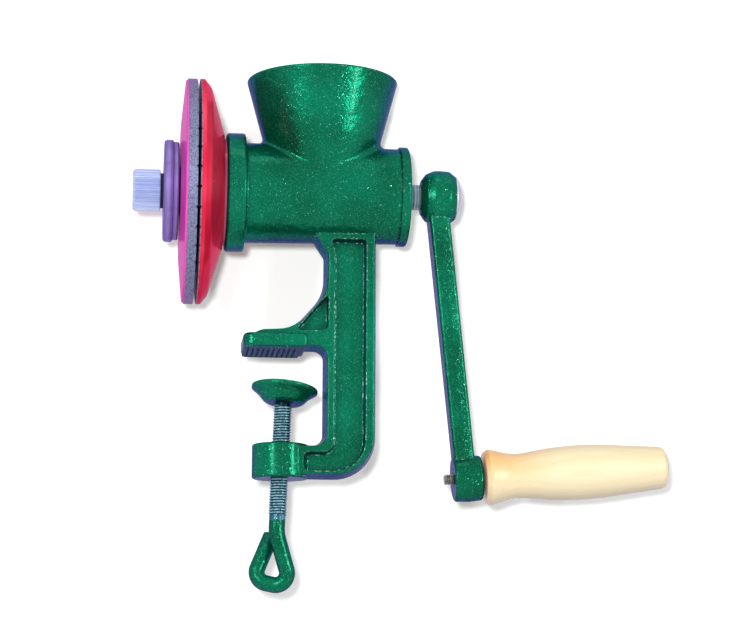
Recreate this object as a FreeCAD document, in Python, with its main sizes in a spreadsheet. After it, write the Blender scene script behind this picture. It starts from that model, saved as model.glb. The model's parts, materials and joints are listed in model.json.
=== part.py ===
"""Hand crank peanut grinder: a cast body with a hopper and a table clamp, two discs and a crank.

Frame: +Z is up and +X runs along the shaft towards the crank. The origin is the point of
the upper jaw's clamping face that the clamp screw's axis meets. All sizes are millimetres.
"""

import FreeCAD
import Part

import math
import os
import re

import Sketcher

# Sizes: each name, its value and what it measures
SIZES = (
    ("shaft_height", 88.9, "shaft axis above the jaw's clamping face"),
    ("flange_reach", 34.4, "clamp axis to the front face of the flange"),
    ("flange_wide", 65.5, "flange diameter"),
    ("flange_long", 10.5, "flange thickness along the shaft"),
    ("barrel_long", 95.4, "flange face to the rear end of the barrel"),
    ("barrel_front_wide", 55.4, "barrel diameter behind the flange"),
    ("barrel_rear_wide", 53.0, "barrel diameter at its rear end"),
    ("barrel_bore", 46.0, "bore that the auger turns in"),
    ("rear_pocket_wide", 36.0, "pocket of the thrust collar"),
    ("rear_pocket_deep", 7.0, "depth of that pocket"),
    ("rear_wall_thick", 6.0, "wall that holds the bush"),
    ("hopper_place", 18.8, "clamp axis to the hopper's axis"),
    ("hopper_rise", 64.0, "shaft axis up to the hopper's rim"),
    ("hopper_wide", 84.0, "hopper's outer diameter at the rim"),
    ("hopper_slope", 15.2, "half angle of the hopper's cone, degrees"),
    ("hopper_wall", 3.6, "hopper's wall measured level"),
    ("hopper_knee", 28.0, "shaft axis up to where the hopper narrows faster"),
    ("hopper_foot_wide", 43.5, "hopper's outer diameter at its foot in the barrel"),
    ("funnel_rise", 34.0, "shaft axis up to where the funnel floor starts"),
    ("throat_rise", 24.0, "shaft axis up to the bottom of the funnel floor"),
    ("throat_wide", 34.0, "diameter of the hole down to the auger"),
    ("blend_saddle", 3.0, "casting radius between hopper and barrel"),
    ("post_reach", 20.2, "clamp axis to the inner side of the post"),
    ("post_wide", 29.2, "post across at its middle plane"),
    ("frame_deep", 25.0, "clamp frame from face to face"),
    ("frame_draft", 8.0, "casting draft of the clamp frame, degrees"),
    ("frame_edge", 1.1, "rounding of the frame's face edges"),
    ("recess_deep", 7.0, "depth of the long recess in each face"),
    ("recess_draft", 6.0, "draft of the recess walls, degrees"),
    ("rim_wide", 5.6, "middle plane edge of the post to the recess"),
    ("flare_wide", 11.0, "how far the post widens into the barrel"),
    ("corner_outer", 23.0, "outer corner of the clamp frame"),
    ("corner_inner", 5.0, "inner corners of the clamp frame"),
    ("jaw_opening", 50.4, "clamping face down to the lower arm"),
    ("arm_high", 18.7, "lower arm from top to bottom"),
    ("boss_wide", 30.8, "diameter of the screw boss"),
    ("jaw_left", 24.0, "clamp axis to the jaw's free end"),
    ("jaw_right", 10.6, "clamp axis to where the wide jaw ends"),
    ("jaw_across", 38.0, "jaw across the shaft's direction"),
    ("jaw_thick", 7.5, "thickness of the jaw plate"),
    ("tooth_block_high", 1.0, "serrated block under the jaw plate"),
    ("tooth_margin", 1.5, "block's edge inside the jaw's edge"),
    ("tooth_pitch", 2.8, "distance between the serrations"),
    ("tooth_deep", 0.8, "depth of the serrations"),
    ("gusset_low", 13.7, "top of the jaw arm above the clamping face"),
    ("gusset_high", 32.4, "where the gusset meets the post"),
    ("gusset_reach", 16.2, "how far the gusset runs out from the post"),
    ("gusset_round", 22.0, "radius of the gusset's hollow curve"),
    ("gusset_rim", 2.8, "width of the gusset's rim"),
    ("screw_lean", 2.3, "lean of the clamp screw's bore, degrees"),
    ("screw_wide", 10.0, "clamp screw's thread diameter"),
    ("screw_pitch", 1.5, "clamp screw's thread pitch"),
    ("thread_deep", 0.65, "depth of the thread's grooves"),
    ("thread_end", 88.6, "clamping face down to the thread's lower end"),
    ("rod_wide", 8.8, "diameter of the rod below the thread"),
    ("eye_start", 98.6, "clamping face down to where the eye begins"),
    ("eye_low", 127.2, "clamping face down to the eye's lowest centre line"),
    ("eye_right", 9.9, "eye's centre line to the right of the axis"),
    ("eye_left", 10.5, "eye's centre line to the left of the axis"),
    ("eye_bend", 6.4, "bend radius of the eye's lower corners"),
    ("pivot_drop", 26.9, "clamping face down to the pad's swivel centre"),
    ("pad_wide", 36.2, "diameter of the clamp pad's rim"),
    ("pad_high", 9.0, "clamp pad from its hub to its rim"),
    ("pad_wall", 2.2, "clamp pad's thickness"),
    ("pad_hub", 20.4, "flat middle of the clamp pad"),
    ("pad_lip", 1.8, "height of the clamp pad's upright lip"),
    ("pad_tilt_front", 6.8, "how far the pad hangs down at the back, degrees"),
    ("pad_tilt_side", 6.0, "how far the pad hangs down on the right, degrees"),
    ("nose_wide", 6.8, "neck of the screw that carries the pad"),
    ("nose_play", 1.2, "free height under and over the pad's hub"),
    ("pad_hole", 8.2, "hole in the pad's hub"),
    ("pad_washer_wide", 11.6, "washer inside the pad"),
    ("pad_washer_thick", 1.2, "thickness of that washer"),
    ("peen_high", 2.4, "height of the riveted end above the washer"),
    ("disc_wide", 124.0, "diameter of both grinding discs"),
    ("fixed_disc_thick", 15.2, "flange face to the fixed disc's grinding face"),
    ("fixed_rim_thick", 2.6, "fixed disc's thickness at its edge"),
    ("fixed_hub_wide", 65.0, "back of the fixed disc's cone"),
    ("seat_wide", 59.0, "raised seat of the fixed disc on the flange"),
    ("seat_high", 1.4, "height of that seat"),
    ("disc_mouth", 42.0, "opening in the middle of the fixed disc"),
    ("land_inner", 88.0, "inner diameter of the grinding faces"),
    ("groove_deep", 0.9, "depth of the grinding grooves"),
    ("groove_half", 1.6, "half width of the grinding grooves"),
    ("disc_gap", 1.4, "gap between the grinding faces"),
    ("moving_rim_thick", 5.3, "moving disc's thickness at its edge"),
    ("crown_high", 3.1, "how far the moving disc's face stands out"),
    ("moving_hub_proud", 3.85, "moving disc's hub out from its rim's face"),
    ("moving_hub_wide", 26.0, "diameter of the moving disc's hub"),
    ("plate_thick", 3.1, "thickness of the backing plate"),
    ("plate_wide", 54.0, "diameter of the backing plate"),
    ("ring_thick", 5.1, "thickness of the pressure ring"),
    ("ring_wide", 56.2, "diameter of the pressure ring"),
    ("knob_washer_thick", 1.6, "thickness of the fibre washer"),
    ("knob_washer_wide", 19.3, "diameter of the fibre washer"),
    ("knob_wide", 23.4, "diameter of the knurled knob"),
    ("knob_long", 15.1, "length of the knurled knob"),
    ("knob_edge", 1.4, "chamfer on the knob's outer edge"),
    ("knob_floor", 1.2, "thickness of the knob's closed end"),
    ("knurl_deep", 0.55, "depth of the knurl"),
    ("adjuster_wide", 12.0, "thread that the knob turns on"),
    ("journal_wide", 16.0, "shaft where the moving disc slides"),
    ("root_wide", 19.0, "auger's core"),
    ("flight_wide", 44.0, "auger's flight across"),
    ("flight_thick", 4.5, "thickness of the auger's flight"),
    ("flight_pitch", 26.0, "auger's lead"),
    ("stub_wide", 14.0, "shaft at the bush and the cover"),
    ("square_wide", 10.0, "square end that drives the crank"),
    ("key_wide", 5.0, "width of the disc's key"),
    ("key_long", 9.6, "length of the disc's key"),
    ("bush_wide", 22.0, "outer diameter of the bush"),
    ("bush_flange_wide", 28.0, "flange of the bush"),
    ("bush_flange_thick", 1.2, "thickness of that flange"),
    ("thrust_washer_wide", 34.0, "diameter of the thrust washers"),
    ("thrust_washer_thick", 1.0, "thickness of the thrust washers"),
    ("collar_wide", 27.0, "diameter of the thrust collar"),
    ("collar_pin_wide", 3.0, "diameter of the pin in the collar"),
    ("cover_wide", 55.3, "diameter of the rear cover"),
    ("cover_thick", 5.3, "thickness of the rear cover"),
    ("cover_screw_wide", 4.0, "thread of the cover's screws"),
    ("cover_screw_circle", 44.6, "circle of the cover's screws"),
    ("disc_screw_wide", 4.0, "thread of the fixed disc's screws"),
    ("disc_screw_circle", 53.0, "circle of the fixed disc's screws"),
    ("hub_gap", 7.7, "rear cover to the crank's hub"),
    ("hub_long", 18.9, "length of the crank's hub"),
    ("hub_wide", 30.4, "diameter of the crank's hub"),
    ("dome_wide", 24.4, "diameter of the crank screw's head"),
    ("dome_high", 4.0, "height of the crank screw's head"),
    ("crank_screw_wide", 8.0, "thread of the crank screw"),
    ("crank_throw", 156.8, "shaft axis down to the handle's axis"),
    ("crank_splay", 5.85, "how far the arm leans away from the body, degrees"),
    ("arm_thick", 11.3, "crank arm along the shaft"),
    ("arm_wide_top", 18.0, "crank arm across, at the hub"),
    ("arm_wide_low", 15.5, "crank arm across, at the handle"),
    ("arm_ridge", 1.0, "height of the parting ridge on the arm's sides"),
    ("arm_edge", 1.8, "rounding of the arm's long edges"),
    ("handle_rise", 4.1, "how far the handle points upwards, degrees"),
    ("handle_boss_wide", 25.4, "boss at the crank's lower end"),
    ("handle_boss_long", 15.6, "length of that boss"),
    ("bolt_wide", 6.0, "handle bolt"),
    ("bolt_proud", 4.9, "bolt's end beyond the boss"),
    ("bolt_head_wide", 10.6, "handle bolt's head"),
    ("bolt_head_high", 3.4, "height of that head"),
    ("handle_washer_wide", 12.5, "washers at the handle's ends"),
    ("handle_washer_thick", 1.2, "thickness of those washers"),
    ("grip_long", 101.6, "length of the wooden grip"),
    ("grip_flare_wide", 30.4, "grip at its flared end"),
    ("grip_neck_wide", 24.0, "grip at its neck"),
    ("grip_belly_wide", 31.6, "grip at its belly"),
    ("grip_tip_wide", 22.8, "grip at its outer end"),
    ("running_gap", 0.05, "radial clearance of turning fits"),
    ("seat_gap", 0.02, "radial clearance of fixed fits"),
    ("end_gap", 0.1, "end clearance between turning faces"),
)

TEETH_ON_DISC = 36
KNURL_RIDGES = 54
SCREWS_IN_RING = 3

NAMES = tuple(name for name, value, note in SIZES)
POINT = FreeCAD.Vector
START, END, CENTRE = 1, 2, 3

doc = FreeCAD.newDocument("peanut_grinder")
sheet = doc.addObject("Spreadsheet::Sheet", "sizes")
for row, (alias, value, note) in enumerate(SIZES, start=1):
    sheet.set(f"A{row}", note)
    sheet.set(f"B{row}", str(value))
    sheet.setAlias(f"B{row}", alias)
doc.recompute()

# Places along the shaft, from the clamp axis
BARREL_END = "(barrel_long - flange_reach)"
POCKET_FLOOR = f"({BARREL_END} - rear_pocket_deep)"
WALL_FRONT = f"({POCKET_FLOOR} - rear_wall_thick)"
COVER_FACE = f"({BARREL_END} + cover_thick)"
HUB_FRONT = f"({COVER_FACE} + hub_gap)"
HUB_BACK = f"({HUB_FRONT} + hub_long)"
FIXED_FRONT = "(-flange_reach - fixed_disc_thick)"
MOVING_BACK = f"({FIXED_FRONT} - disc_gap)"
MOVING_RIM = f"({MOVING_BACK} - moving_rim_thick)"
MOVING_HUB = f"({MOVING_RIM} - moving_hub_proud)"
PLATE_FRONT = f"({MOVING_HUB} - plate_thick)"
RING_FRONT = f"({PLATE_FRONT} - ring_thick)"
FIBRE_FRONT = f"({RING_FRONT} - knob_washer_thick)"
KNOB_BACK = f"({FIBRE_FRONT} - end_gap)"
KNOB_FRONT = f"({KNOB_BACK} - knob_long)"
BUSH_FRONT = f"({WALL_FRONT} - bush_flange_thick)"
AUGER_END = f"({BUSH_FRONT} - end_gap)"
ADJUSTER_END = f"({KNOB_FRONT} + knob_floor + 1.6)"
JOURNAL_FRONT = f"({MOVING_HUB} + 1.8)"
JOURNAL_BACK = f"({FIXED_FRONT} + 2.6)"

# Places on the clamp screw's axis and across it
SCREW_MIDDLE = "(jaw_opening + arm_high / 2)"
BOSS_X = f"(-{SCREW_MIDDLE} * tan(screw_lean))"
HUB_UNDER = "(-pad_wall / 2)"
SHOULDER = f"(-pivot_drop + {HUB_UNDER} - nose_play)"
WASHER_LOW = "(-pivot_drop + pad_wall / 2 + nose_play)"
PEEN_LOW = f"({WASHER_LOW} + pad_washer_thick + end_gap)"


def size(text):
    """Work out an expression of sizes as a plain number."""
    return float(sheet.evalExpression(text))


def tied(text):
    """Write an expression so that it reads its sizes from the sheet."""
    return re.sub(
        r"[a-z_]+",
        lambda word: "sizes." + word.group(0) if word.group(0) in NAMES else word.group(0),
        text,
    )


def bind(thing, prop, text):
    """Bind one property of an object to an expression of sizes."""
    thing.setExpression(prop, tied(text))


def place(thing, x="0", y="0", z="0", about=POINT(0, 1, 0), turn="0"):
    """Put an object at x, y, z, turned about a direction, all bound to the sheet."""
    spot = POINT(size(x), size(y), size(z))
    thing.Placement = FreeCAD.Placement(spot, FreeCAD.Rotation(about, size(turn)))
    for letter, text in (("x", x), ("y", y), ("z", z)):
        bind(thing, f".Placement.Base.{letter}", text)
    if turn != "0":
        bind(thing, ".Placement.Rotation.Angle", turn)


def new_body(label):
    """Start a body under its name."""
    body = doc.addObject("PartDesign::Body", label)
    body.Label = label
    return body


def origin_part(body, role):
    """Find a plane or an axis of a body's own origin."""
    return next(part for part in body.Origin.OriginFeatures if part.Role == role)


def new_sketch(body, name, plane="XZ_Plane", lift="0"):
    """Start a sketch on a plane of the body, lifted off it along its normal."""
    sketch = body.newObject("Sketcher::SketchObject", name)
    sketch.AttachmentSupport = [(origin_part(body, plane), "")]
    sketch.MapMode = "FlatFace"
    sketch.AttachmentOffset = FreeCAD.Placement(POINT(0, 0, size(lift)), FreeCAD.Rotation())
    if lift != "0":
        bind(sketch, ".AttachmentOffset.Base.z", lift)
    return sketch


def held(shape, end, x, y):
    """List the two limits that hold a point of a sketch at x, y, each with its expression."""
    return [
        (Sketcher.Constraint(kind, -1, 1, shape, end, size(text)), text)
        for kind, text in (("DistanceX", x), ("DistanceY", y))
    ]


def limit_sketch(sketch, limits):
    """Add limits to a sketch in one go and bind those that follow a size."""
    first = sketch.ConstraintCount
    sketch.addConstraint([limit for limit, text in limits])
    for index, (limit, text) in enumerate(limits, start=first):
        if text and size(text) != 0:
            bind(sketch, f"Constraints[{index}]", text)


def draw(sketch, corners):
    """Draw a closed outline through corners of (x, y) or, rounded, (x, y, radius)."""
    spots = [POINT(size(corner[0]), size(corner[1]), 0) for corner in corners]
    starts = list(spots)
    ends = list(spots)
    arcs = {}
    for index, corner in enumerate(corners):
        if len(corner) < 3:
            continue
        radius = size(corner[2])
        before = (spots[index - 1] - spots[index]).normalize()
        after = (spots[(index + 1) % len(spots)] - spots[index]).normalize()
        half = before.getAngle(after) / 2
        inward = (before + after).normalize()
        starts[index] = spots[index] + after * (radius / math.tan(half))
        ends[index] = spots[index] + before * (radius / math.tan(half))
        centre = spots[index] + inward * (radius / math.sin(half))
        circle = Part.Circle(centre, POINT(0, 0, 1), radius)
        turns_left = before.cross(after).z < 0
        run = (ends[index], starts[index]) if turns_left else (starts[index], ends[index])
        arcs[index] = (Part.ArcOfCircle(circle, *map(circle.parameter, run)), turns_left)
    lines = [
        sketch.addGeometry(Part.LineSegment(start, ends[(index + 1) % len(ends)]), False)
        for index, start in enumerate(starts)
    ]
    limits = []
    for index, corner in enumerate(corners):
        before, after = lines[index - 1], lines[index]
        if index not in arcs:
            limits += held(after, START, corner[0], corner[1])
            limits.append((Sketcher.Constraint("Coincident", before, END, after, START), ""))
            continue
        curve, turns_left = arcs[index]
        arc = sketch.addGeometry(curve, False)
        dot = sketch.addGeometry(Part.Point(spots[index]), True)
        limits += held(dot, START, corner[0], corner[1])
        first, last = (START, END) if turns_left else (END, START)
        for limit in (
            Sketcher.Constraint("PointOnObject", dot, START, before),
            Sketcher.Constraint("PointOnObject", dot, START, after),
            Sketcher.Constraint("Tangent", before, END, arc, first),
            Sketcher.Constraint("Tangent", after, START, arc, last),
        ):
            limits.append((limit, ""))
        limits.append((Sketcher.Constraint("Radius", arc, size(corner[2])), corner[2]))
    limit_sketch(sketch, limits)


def draw_circle(sketch, across, x="0", y="0"):
    """Draw a circle of a given diameter."""
    circle = Part.Circle(POINT(size(x), size(y), 0), POINT(0, 0, 1), size(across) / 2)
    shape = sketch.addGeometry(circle, False)
    radius = (Sketcher.Constraint("Radius", shape, size(across) / 2), f"({across}) / 2")
    limit_sketch(sketch, held(shape, CENTRE, x, y) + [radius])


def revolve(body, corners, name, along="H_Axis", cut=False):
    """Turn a profile about an axis of its own sketch, to add to the body or to cut it."""
    sketch = new_sketch(body, f"{name}_profile")
    draw(sketch, corners)
    turned = body.newObject("PartDesign::Groove" if cut else "PartDesign::Revolution", name)
    turned.Profile = sketch
    turned.ReferenceAxis = (sketch, [along])
    turned.Angle = 360
    return turned


def turned_on_shaft(label, corners):
    """Make a piece turned about the shaft, from corners of (x, radius)."""
    body = new_body(label)
    revolve(body, corners, f"{label}_turned")
    place(body, z="shaft_height")
    return body


def pad(body, sketch, name, length, back="0", draft="0"):
    """Raise a sketch to a solid, with a length along its normal and one against it."""
    solid = body.newObject("PartDesign::Pad", name)
    solid.Profile = sketch
    solid.SideType = "Two sides"
    bind(solid, "Length", length)
    bind(solid, "Length2", back)
    if draft != "0":
        bind(solid, "TaperAngle", f"-({draft})")
        bind(solid, "TaperAngle2", f"-({draft})")
    return solid


def pocket(body, sketch, name, depth, reverse=False, draft="0"):
    """Cut a sketch into a body and make sure that it removed something."""
    doc.recompute()
    before = body.Shape.Volume
    hollow = body.newObject("PartDesign::Pocket", name)
    hollow.Profile = sketch
    bind(hollow, "Length", depth)
    hollow.Reversed = reverse
    if draft != "0":
        bind(hollow, "TaperAngle", f"-({draft})")
    doc.recompute()
    if body.Shape.Volume > before - 1e-6:
        raise RuntimeError(f"{name} cuts nothing")
    return hollow


def round_edges(body, name, radius, wanted):
    """Round the edges of a body that a test picks out."""
    doc.recompute()
    tip = body.Tip
    picked = [
        f"Edge{number}"
        for number, edge in enumerate(tip.Shape.Edges, start=1)
        if wanted(edge)
    ]
    if not picked:
        raise RuntimeError(f"{name} finds no edge")
    rounding = body.newObject("PartDesign::Fillet", name)
    rounding.Base = (tip, picked)
    bind(rounding, "Radius", radius)
    return rounding


def pattern_round(body, features, name, count):
    """Repeat features of a body about its own X axis."""
    ring = body.newObject("PartDesign::PolarPattern", name)
    ring.Originals = features
    ring.Axis = (origin_part(body, "X_Axis"), [""])
    ring.Angle = 360
    ring.Occurrences = count
    body.Tip = ring
    return ring


def combine(kind, label, base, tools):
    """Join or cut whole solids into one piece."""
    if kind == "fuse":
        result = doc.addObject("Part::MultiFuse", label)
        result.Shapes = [base] + tools
        result.Refine = True
    elif len(tools) == 1:
        result = doc.addObject("Part::Cut", label)
        result.Base = base
        result.Tool = tools[0]
    else:
        joined = doc.addObject("Part::MultiFuse", f"{label}_tools")
        joined.Shapes = tools
        result = doc.addObject("Part::Cut", label)
        result.Base = base
        result.Tool = joined
    result.Label = label
    return result


def rod(label, across, length, x="0", y="0", z="0", about=POINT(0, 1, 0), turn="0"):
    """Make a plain cylinder from its end at x, y, z, turned from the upright."""
    bar = doc.addObject("Part::Cylinder", label)
    bind(bar, "Radius", f"({across}) / 2")
    bind(bar, "Height", length)
    place(bar, x, y, z, about, turn)
    return bar


def block(label, wide, deep, high, x, y, z, about=POINT(0, 1, 0), turn="0"):
    """Make a plain box from its low corner."""
    box = doc.addObject("Part::Box", label)
    for prop, text in (("Length", wide), ("Width", deep), ("Height", high)):
        bind(box, prop, text)
    place(box, x, y, z, about, turn)
    return box


def ring_place(circle, number):
    """Give y and z of one of the screws spaced round the shaft."""
    angle = f"{90 + 360 * number / SCREWS_IN_RING}"
    across = f"({circle}) / 2 * cos({angle})"
    up = f"shaft_height + ({circle}) / 2 * sin({angle})"
    return across, up


def shaft_holes(label, across, circle, start, length):
    """Make the cylinders that drill a ring of holes along the shaft's direction."""
    holes = []
    for number in range(SCREWS_IN_RING):
        y, z = ring_place(circle, number)
        holes.append(rod(f"{label}_{number}", across, length, start, y, z, turn="90"))
    return holes


# The casting: barrel with its flange, hopper, post, jaw and lower arm
def make_barrel():
    """Turn the barrel and its front flange."""
    return turned_on_shaft("barrel", [
        ("-flange_reach", "0"),
        ("-flange_reach", "flange_wide / 2", "1.6"),
        ("-flange_reach + flange_long", "flange_wide / 2", "1.4"),
        ("-flange_reach + flange_long", "barrel_front_wide / 2 - 0.02", "1.2"),
        (BARREL_END, "barrel_rear_wide / 2"),
        (BARREL_END, "0"),
    ])


def make_hopper():
    """Turn the outside of the hopper about its own upright axis."""
    body = new_body("hopper")
    revolve(body, [
        ("0", "2"),
        ("hopper_foot_wide / 2", "2"),
        ("hopper_wide / 2 - (hopper_rise - hopper_knee) * tan(hopper_slope)", "hopper_knee", "60"),
        ("hopper_wide / 2", "hopper_rise", "0.8"),
        ("0", "hopper_rise"),
    ], "hopper_turned", along="V_Axis")
    place(body, x="hopper_place", z="shaft_height")
    return body


def make_hopper_inside():
    """Turn the space inside the hopper, down through the throat to the bore."""
    above = "hopper_rise + 5"
    body = new_body("hopper_inside")
    revolve(body, [
        ("0", "12"),
        ("throat_wide / 2", "12"),
        ("throat_wide / 2", "throat_rise"),
        ("hopper_wide / 2 - hopper_wall - (hopper_rise - funnel_rise) * tan(hopper_slope)",
         "funnel_rise", "6"),
        ("hopper_wide / 2 - hopper_wall + 5 * tan(hopper_slope)", above),
        ("0", above),
    ], "hopper_inside_turned", along="V_Axis")
    place(body, x="hopper_place", z="shaft_height")
    return body


def make_clamp_frame():
    """Raise the C-shaped frame with its drafted faces and its recesses."""
    body = new_body("clamp_frame")
    sketch = new_sketch(body, "frame_outline")
    top = "shaft_height - 15"
    low = "-jaw_opening - arm_high"
    outer = "post_reach + post_wide"
    under = "shaft_height - barrel_rear_wide / 2"
    draw(sketch, [
        ("post_reach - flare_wide", top),
        ("post_reach - flare_wide", f"{under} + 7"),
        ("post_reach", f"{under} - 9", "6"),
        ("post_reach", "gusset_high", "gusset_round"),
        ("post_reach - gusset_reach", "gusset_low", "gusset_round - 2"),
        ("-jaw_left * 0.6", "gusset_low - 1.0", "8"),
        ("-jaw_left + 2.0", "jaw_thick + 0.6"),
        ("-jaw_left + 2.0", "tooth_block_high"),
        ("post_reach", "tooth_block_high", "corner_inner"),
        ("post_reach", "-jaw_opening", "corner_inner"),
        (BOSS_X, "-jaw_opening"),
        (BOSS_X, low),
        (outer, low, "corner_outer"),
        (outer, top),
    ])
    pad(body, sketch, "frame_raised", "frame_deep / 2", "frame_deep / 2", "frame_draft")
    half = size("frame_deep / 2")
    round_edges(body, "frame_face_edges", "frame_edge", lambda edge: all(
        abs(abs(vertex.Y) - half) < 1e-4 for vertex in edge.Vertexes) and on_one_side(edge))
    left = "post_reach + rim_wide"
    right = "post_reach + post_wide - rim_wide - 0.9"
    channel_top = "-jaw_opening - rim_wide + 0.6"
    channel_low = "-jaw_opening - arm_high + rim_wide - 2.1"
    for side, lift in (("front", "frame_deep / 2"), ("back", "-frame_deep / 2")):
        reverse = side == "back"
        sketch = new_sketch(body, f"recess_{side}", lift=lift)
        draw(sketch, [
            (f"{left} - 2.6", f"{under} - 0.4", "2"),
            (left, f"{under} - 8.5", "8"),
            (left, channel_top, "6"),
            (f"{BOSS_X} + boss_wide / 2 - 3.6", channel_top, "3"),
            (f"{BOSS_X} + boss_wide / 2 - 3.6", channel_low, "3"),
            (right, channel_low, "corner_outer - rim_wide"),
            (right, f"{under} - 0.4", "2"),
        ])
        pocket(body, sketch, f"recess_{side}_cut", "recess_deep", reverse, "recess_draft")
        sketch = new_sketch(body, f"gusset_{side}", lift=lift)
        wall = "post_reach + 2.2"
        floor = "gusset_low - gusset_rim"
        slope = "(gusset_high - gusset_low) / gusset_reach"
        draw(sketch, [
            (wall, floor, "4"),
            (wall, f"gusset_high - gusset_rim + 1.8 * ({slope})", "1"),
            ("post_reach + 0.4 - gusset_reach", floor, "1.4"),
        ])
        pocket(body, sketch, f"gusset_{side}_cut", "recess_deep - 1", reverse, "recess_draft")
    return body


def on_one_side(edge):
    """Tell whether an edge stays on one face of the clamp frame."""
    return len({vertex.Y > 0 for vertex in edge.Vertexes}) == 1


def make_jaw():
    """Raise the wide jaw plate and the serrated block under it."""
    body = new_body("jaw")
    sketch = new_sketch(body, "jaw_outline", "XY_Plane", "tooth_block_high")
    draw(sketch, [
        ("-jaw_left", "-jaw_across / 2", "6"),
        ("jaw_right", "-jaw_across / 2", "1.8"),
        ("jaw_right", "jaw_across / 2", "1.8"),
        ("-jaw_left", "jaw_across / 2", "6"),
    ])
    pad(body, sketch, "jaw_raised", "jaw_thick")
    top = size("tooth_block_high + jaw_thick")
    under = size("tooth_block_high")
    round_edges(body, "jaw_top_edges", "2", lambda edge: all(
        abs(vertex.Z - top) < 1e-4 for vertex in edge.Vertexes))
    round_edges(body, "jaw_under_edges", "1.4", lambda edge: all(
        abs(vertex.Z - under) < 1e-4 for vertex in edge.Vertexes))
    sketch = new_sketch(body, "block_outline", "XY_Plane")
    reach = "jaw_across / 2 - tooth_margin"
    draw(sketch, [
        ("-jaw_left + 0.5", f"-({reach})", "4.5"),
        ("jaw_right - 2 * tooth_margin", f"-({reach})", "1"),
        ("jaw_right - 2 * tooth_margin", reach, "1"),
        ("-jaw_left + 0.5", reach, "4.5"),
    ])
    pad(body, sketch, "block_raised", "tooth_block_high + 0.5")
    sketch = new_sketch(body, "serration_outline", lift=f"-({reach}) + 2")
    left_rows = int(size("(jaw_left - 3) / tooth_pitch + 0.5"))
    right_rows = int(size("(jaw_right - 2 * tooth_margin - 1.5) / tooth_pitch + 0.5"))
    first = f"(0.5 - {left_rows}) * tooth_pitch"
    draw(sketch, [
        (f"{first} - tooth_pitch * 0.35", "-0.4"),
        (f"{first} + tooth_pitch * 0.35", "-0.4"),
        (first, "tooth_deep"),
    ])
    cut = pocket(body, sketch, "serration", "jaw_across - 2 * tooth_margin - 5", reverse=True)
    row = body.newObject("PartDesign::LinearPattern", "serrations")
    row.Originals = [cut]
    row.Direction = (origin_part(body, "X_Axis"), [""])
    row.Mode = "Spacing"
    bind(row, "Offset", "tooth_pitch")
    row.Occurrences = left_rows + right_rows
    body.Tip = row
    return body


def make_casting():
    """Join the casting's forms, blend the hopper and cut the bores."""
    boss = new_body("screw_boss")
    sketch = new_sketch(boss, "boss_outline", "XY_Plane", "-jaw_opening - arm_high")
    draw_circle(sketch, "boss_wide", x=BOSS_X)
    pad(boss, sketch, "boss_raised", "arm_high")
    round_edges(boss, "boss_edges", "1.2", lambda edge: edge.Closed)
    top = combine("fuse", "barrel_and_hopper", make_barrel(), [make_hopper()])
    doc.recompute()
    low, high = size("shaft_height + 3"), size("shaft_height + barrel_front_wide / 2 + 1")
    reach = size("hopper_wide / 2")
    saddle = doc.addObject("Part::Fillet", "saddle_blend")
    saddle.Base = top
    saddle.Edges = [
        (number, size("blend_saddle"), size("blend_saddle"))
        for number, edge in enumerate(top.Shape.Edges, start=1)
        if low < edge.BoundBox.ZMin and edge.BoundBox.ZMax < high
        and abs(edge.CenterOfMass.x - size("hopper_place")) < reach
        and edge.Curve.TypeId not in ("Part::GeomLine", "Part::GeomCircle")
    ]
    solid = combine("fuse", "casting_solid", saddle, [make_clamp_frame(), boss, make_jaw()])
    deep = "flange_reach + 10"
    tools = [
        make_hopper_inside(),
        rod("barrel_bore_cut", "barrel_bore", f"{WALL_FRONT} + {deep}", f"-({deep})", "0",
            "shaft_height", turn="90"),
        rod("bush_cut", "bush_wide", "rear_wall_thick + 2", f"{WALL_FRONT} - 1", "0",
            "shaft_height", turn="90"),
        rod("pocket_cut", "rear_pocket_wide", "rear_pocket_deep + 1", POCKET_FLOOR, "0",
            "shaft_height", turn="90"),
        rod("screw_bore_cut", "screw_wide + 2 * running_gap", "jaw_opening + arm_high",
            f"-({SCREW_MIDDLE} + jaw_opening) * sin(screw_lean)", "0",
            f"-({SCREW_MIDDLE} + jaw_opening) * cos(screw_lean)", turn="screw_lean"),
    ]
    tools += shaft_holes("disc_screw_hole", "disc_screw_wide", "disc_screw_circle",
                         "-flange_reach - 1", "flange_long + 1.5")
    tools += shaft_holes("cover_screw_hole", "cover_screw_wide", "cover_screw_circle",
                         f"{BARREL_END} - 9", "10")
    return combine("cut", "grinder_body", solid, tools)


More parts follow.
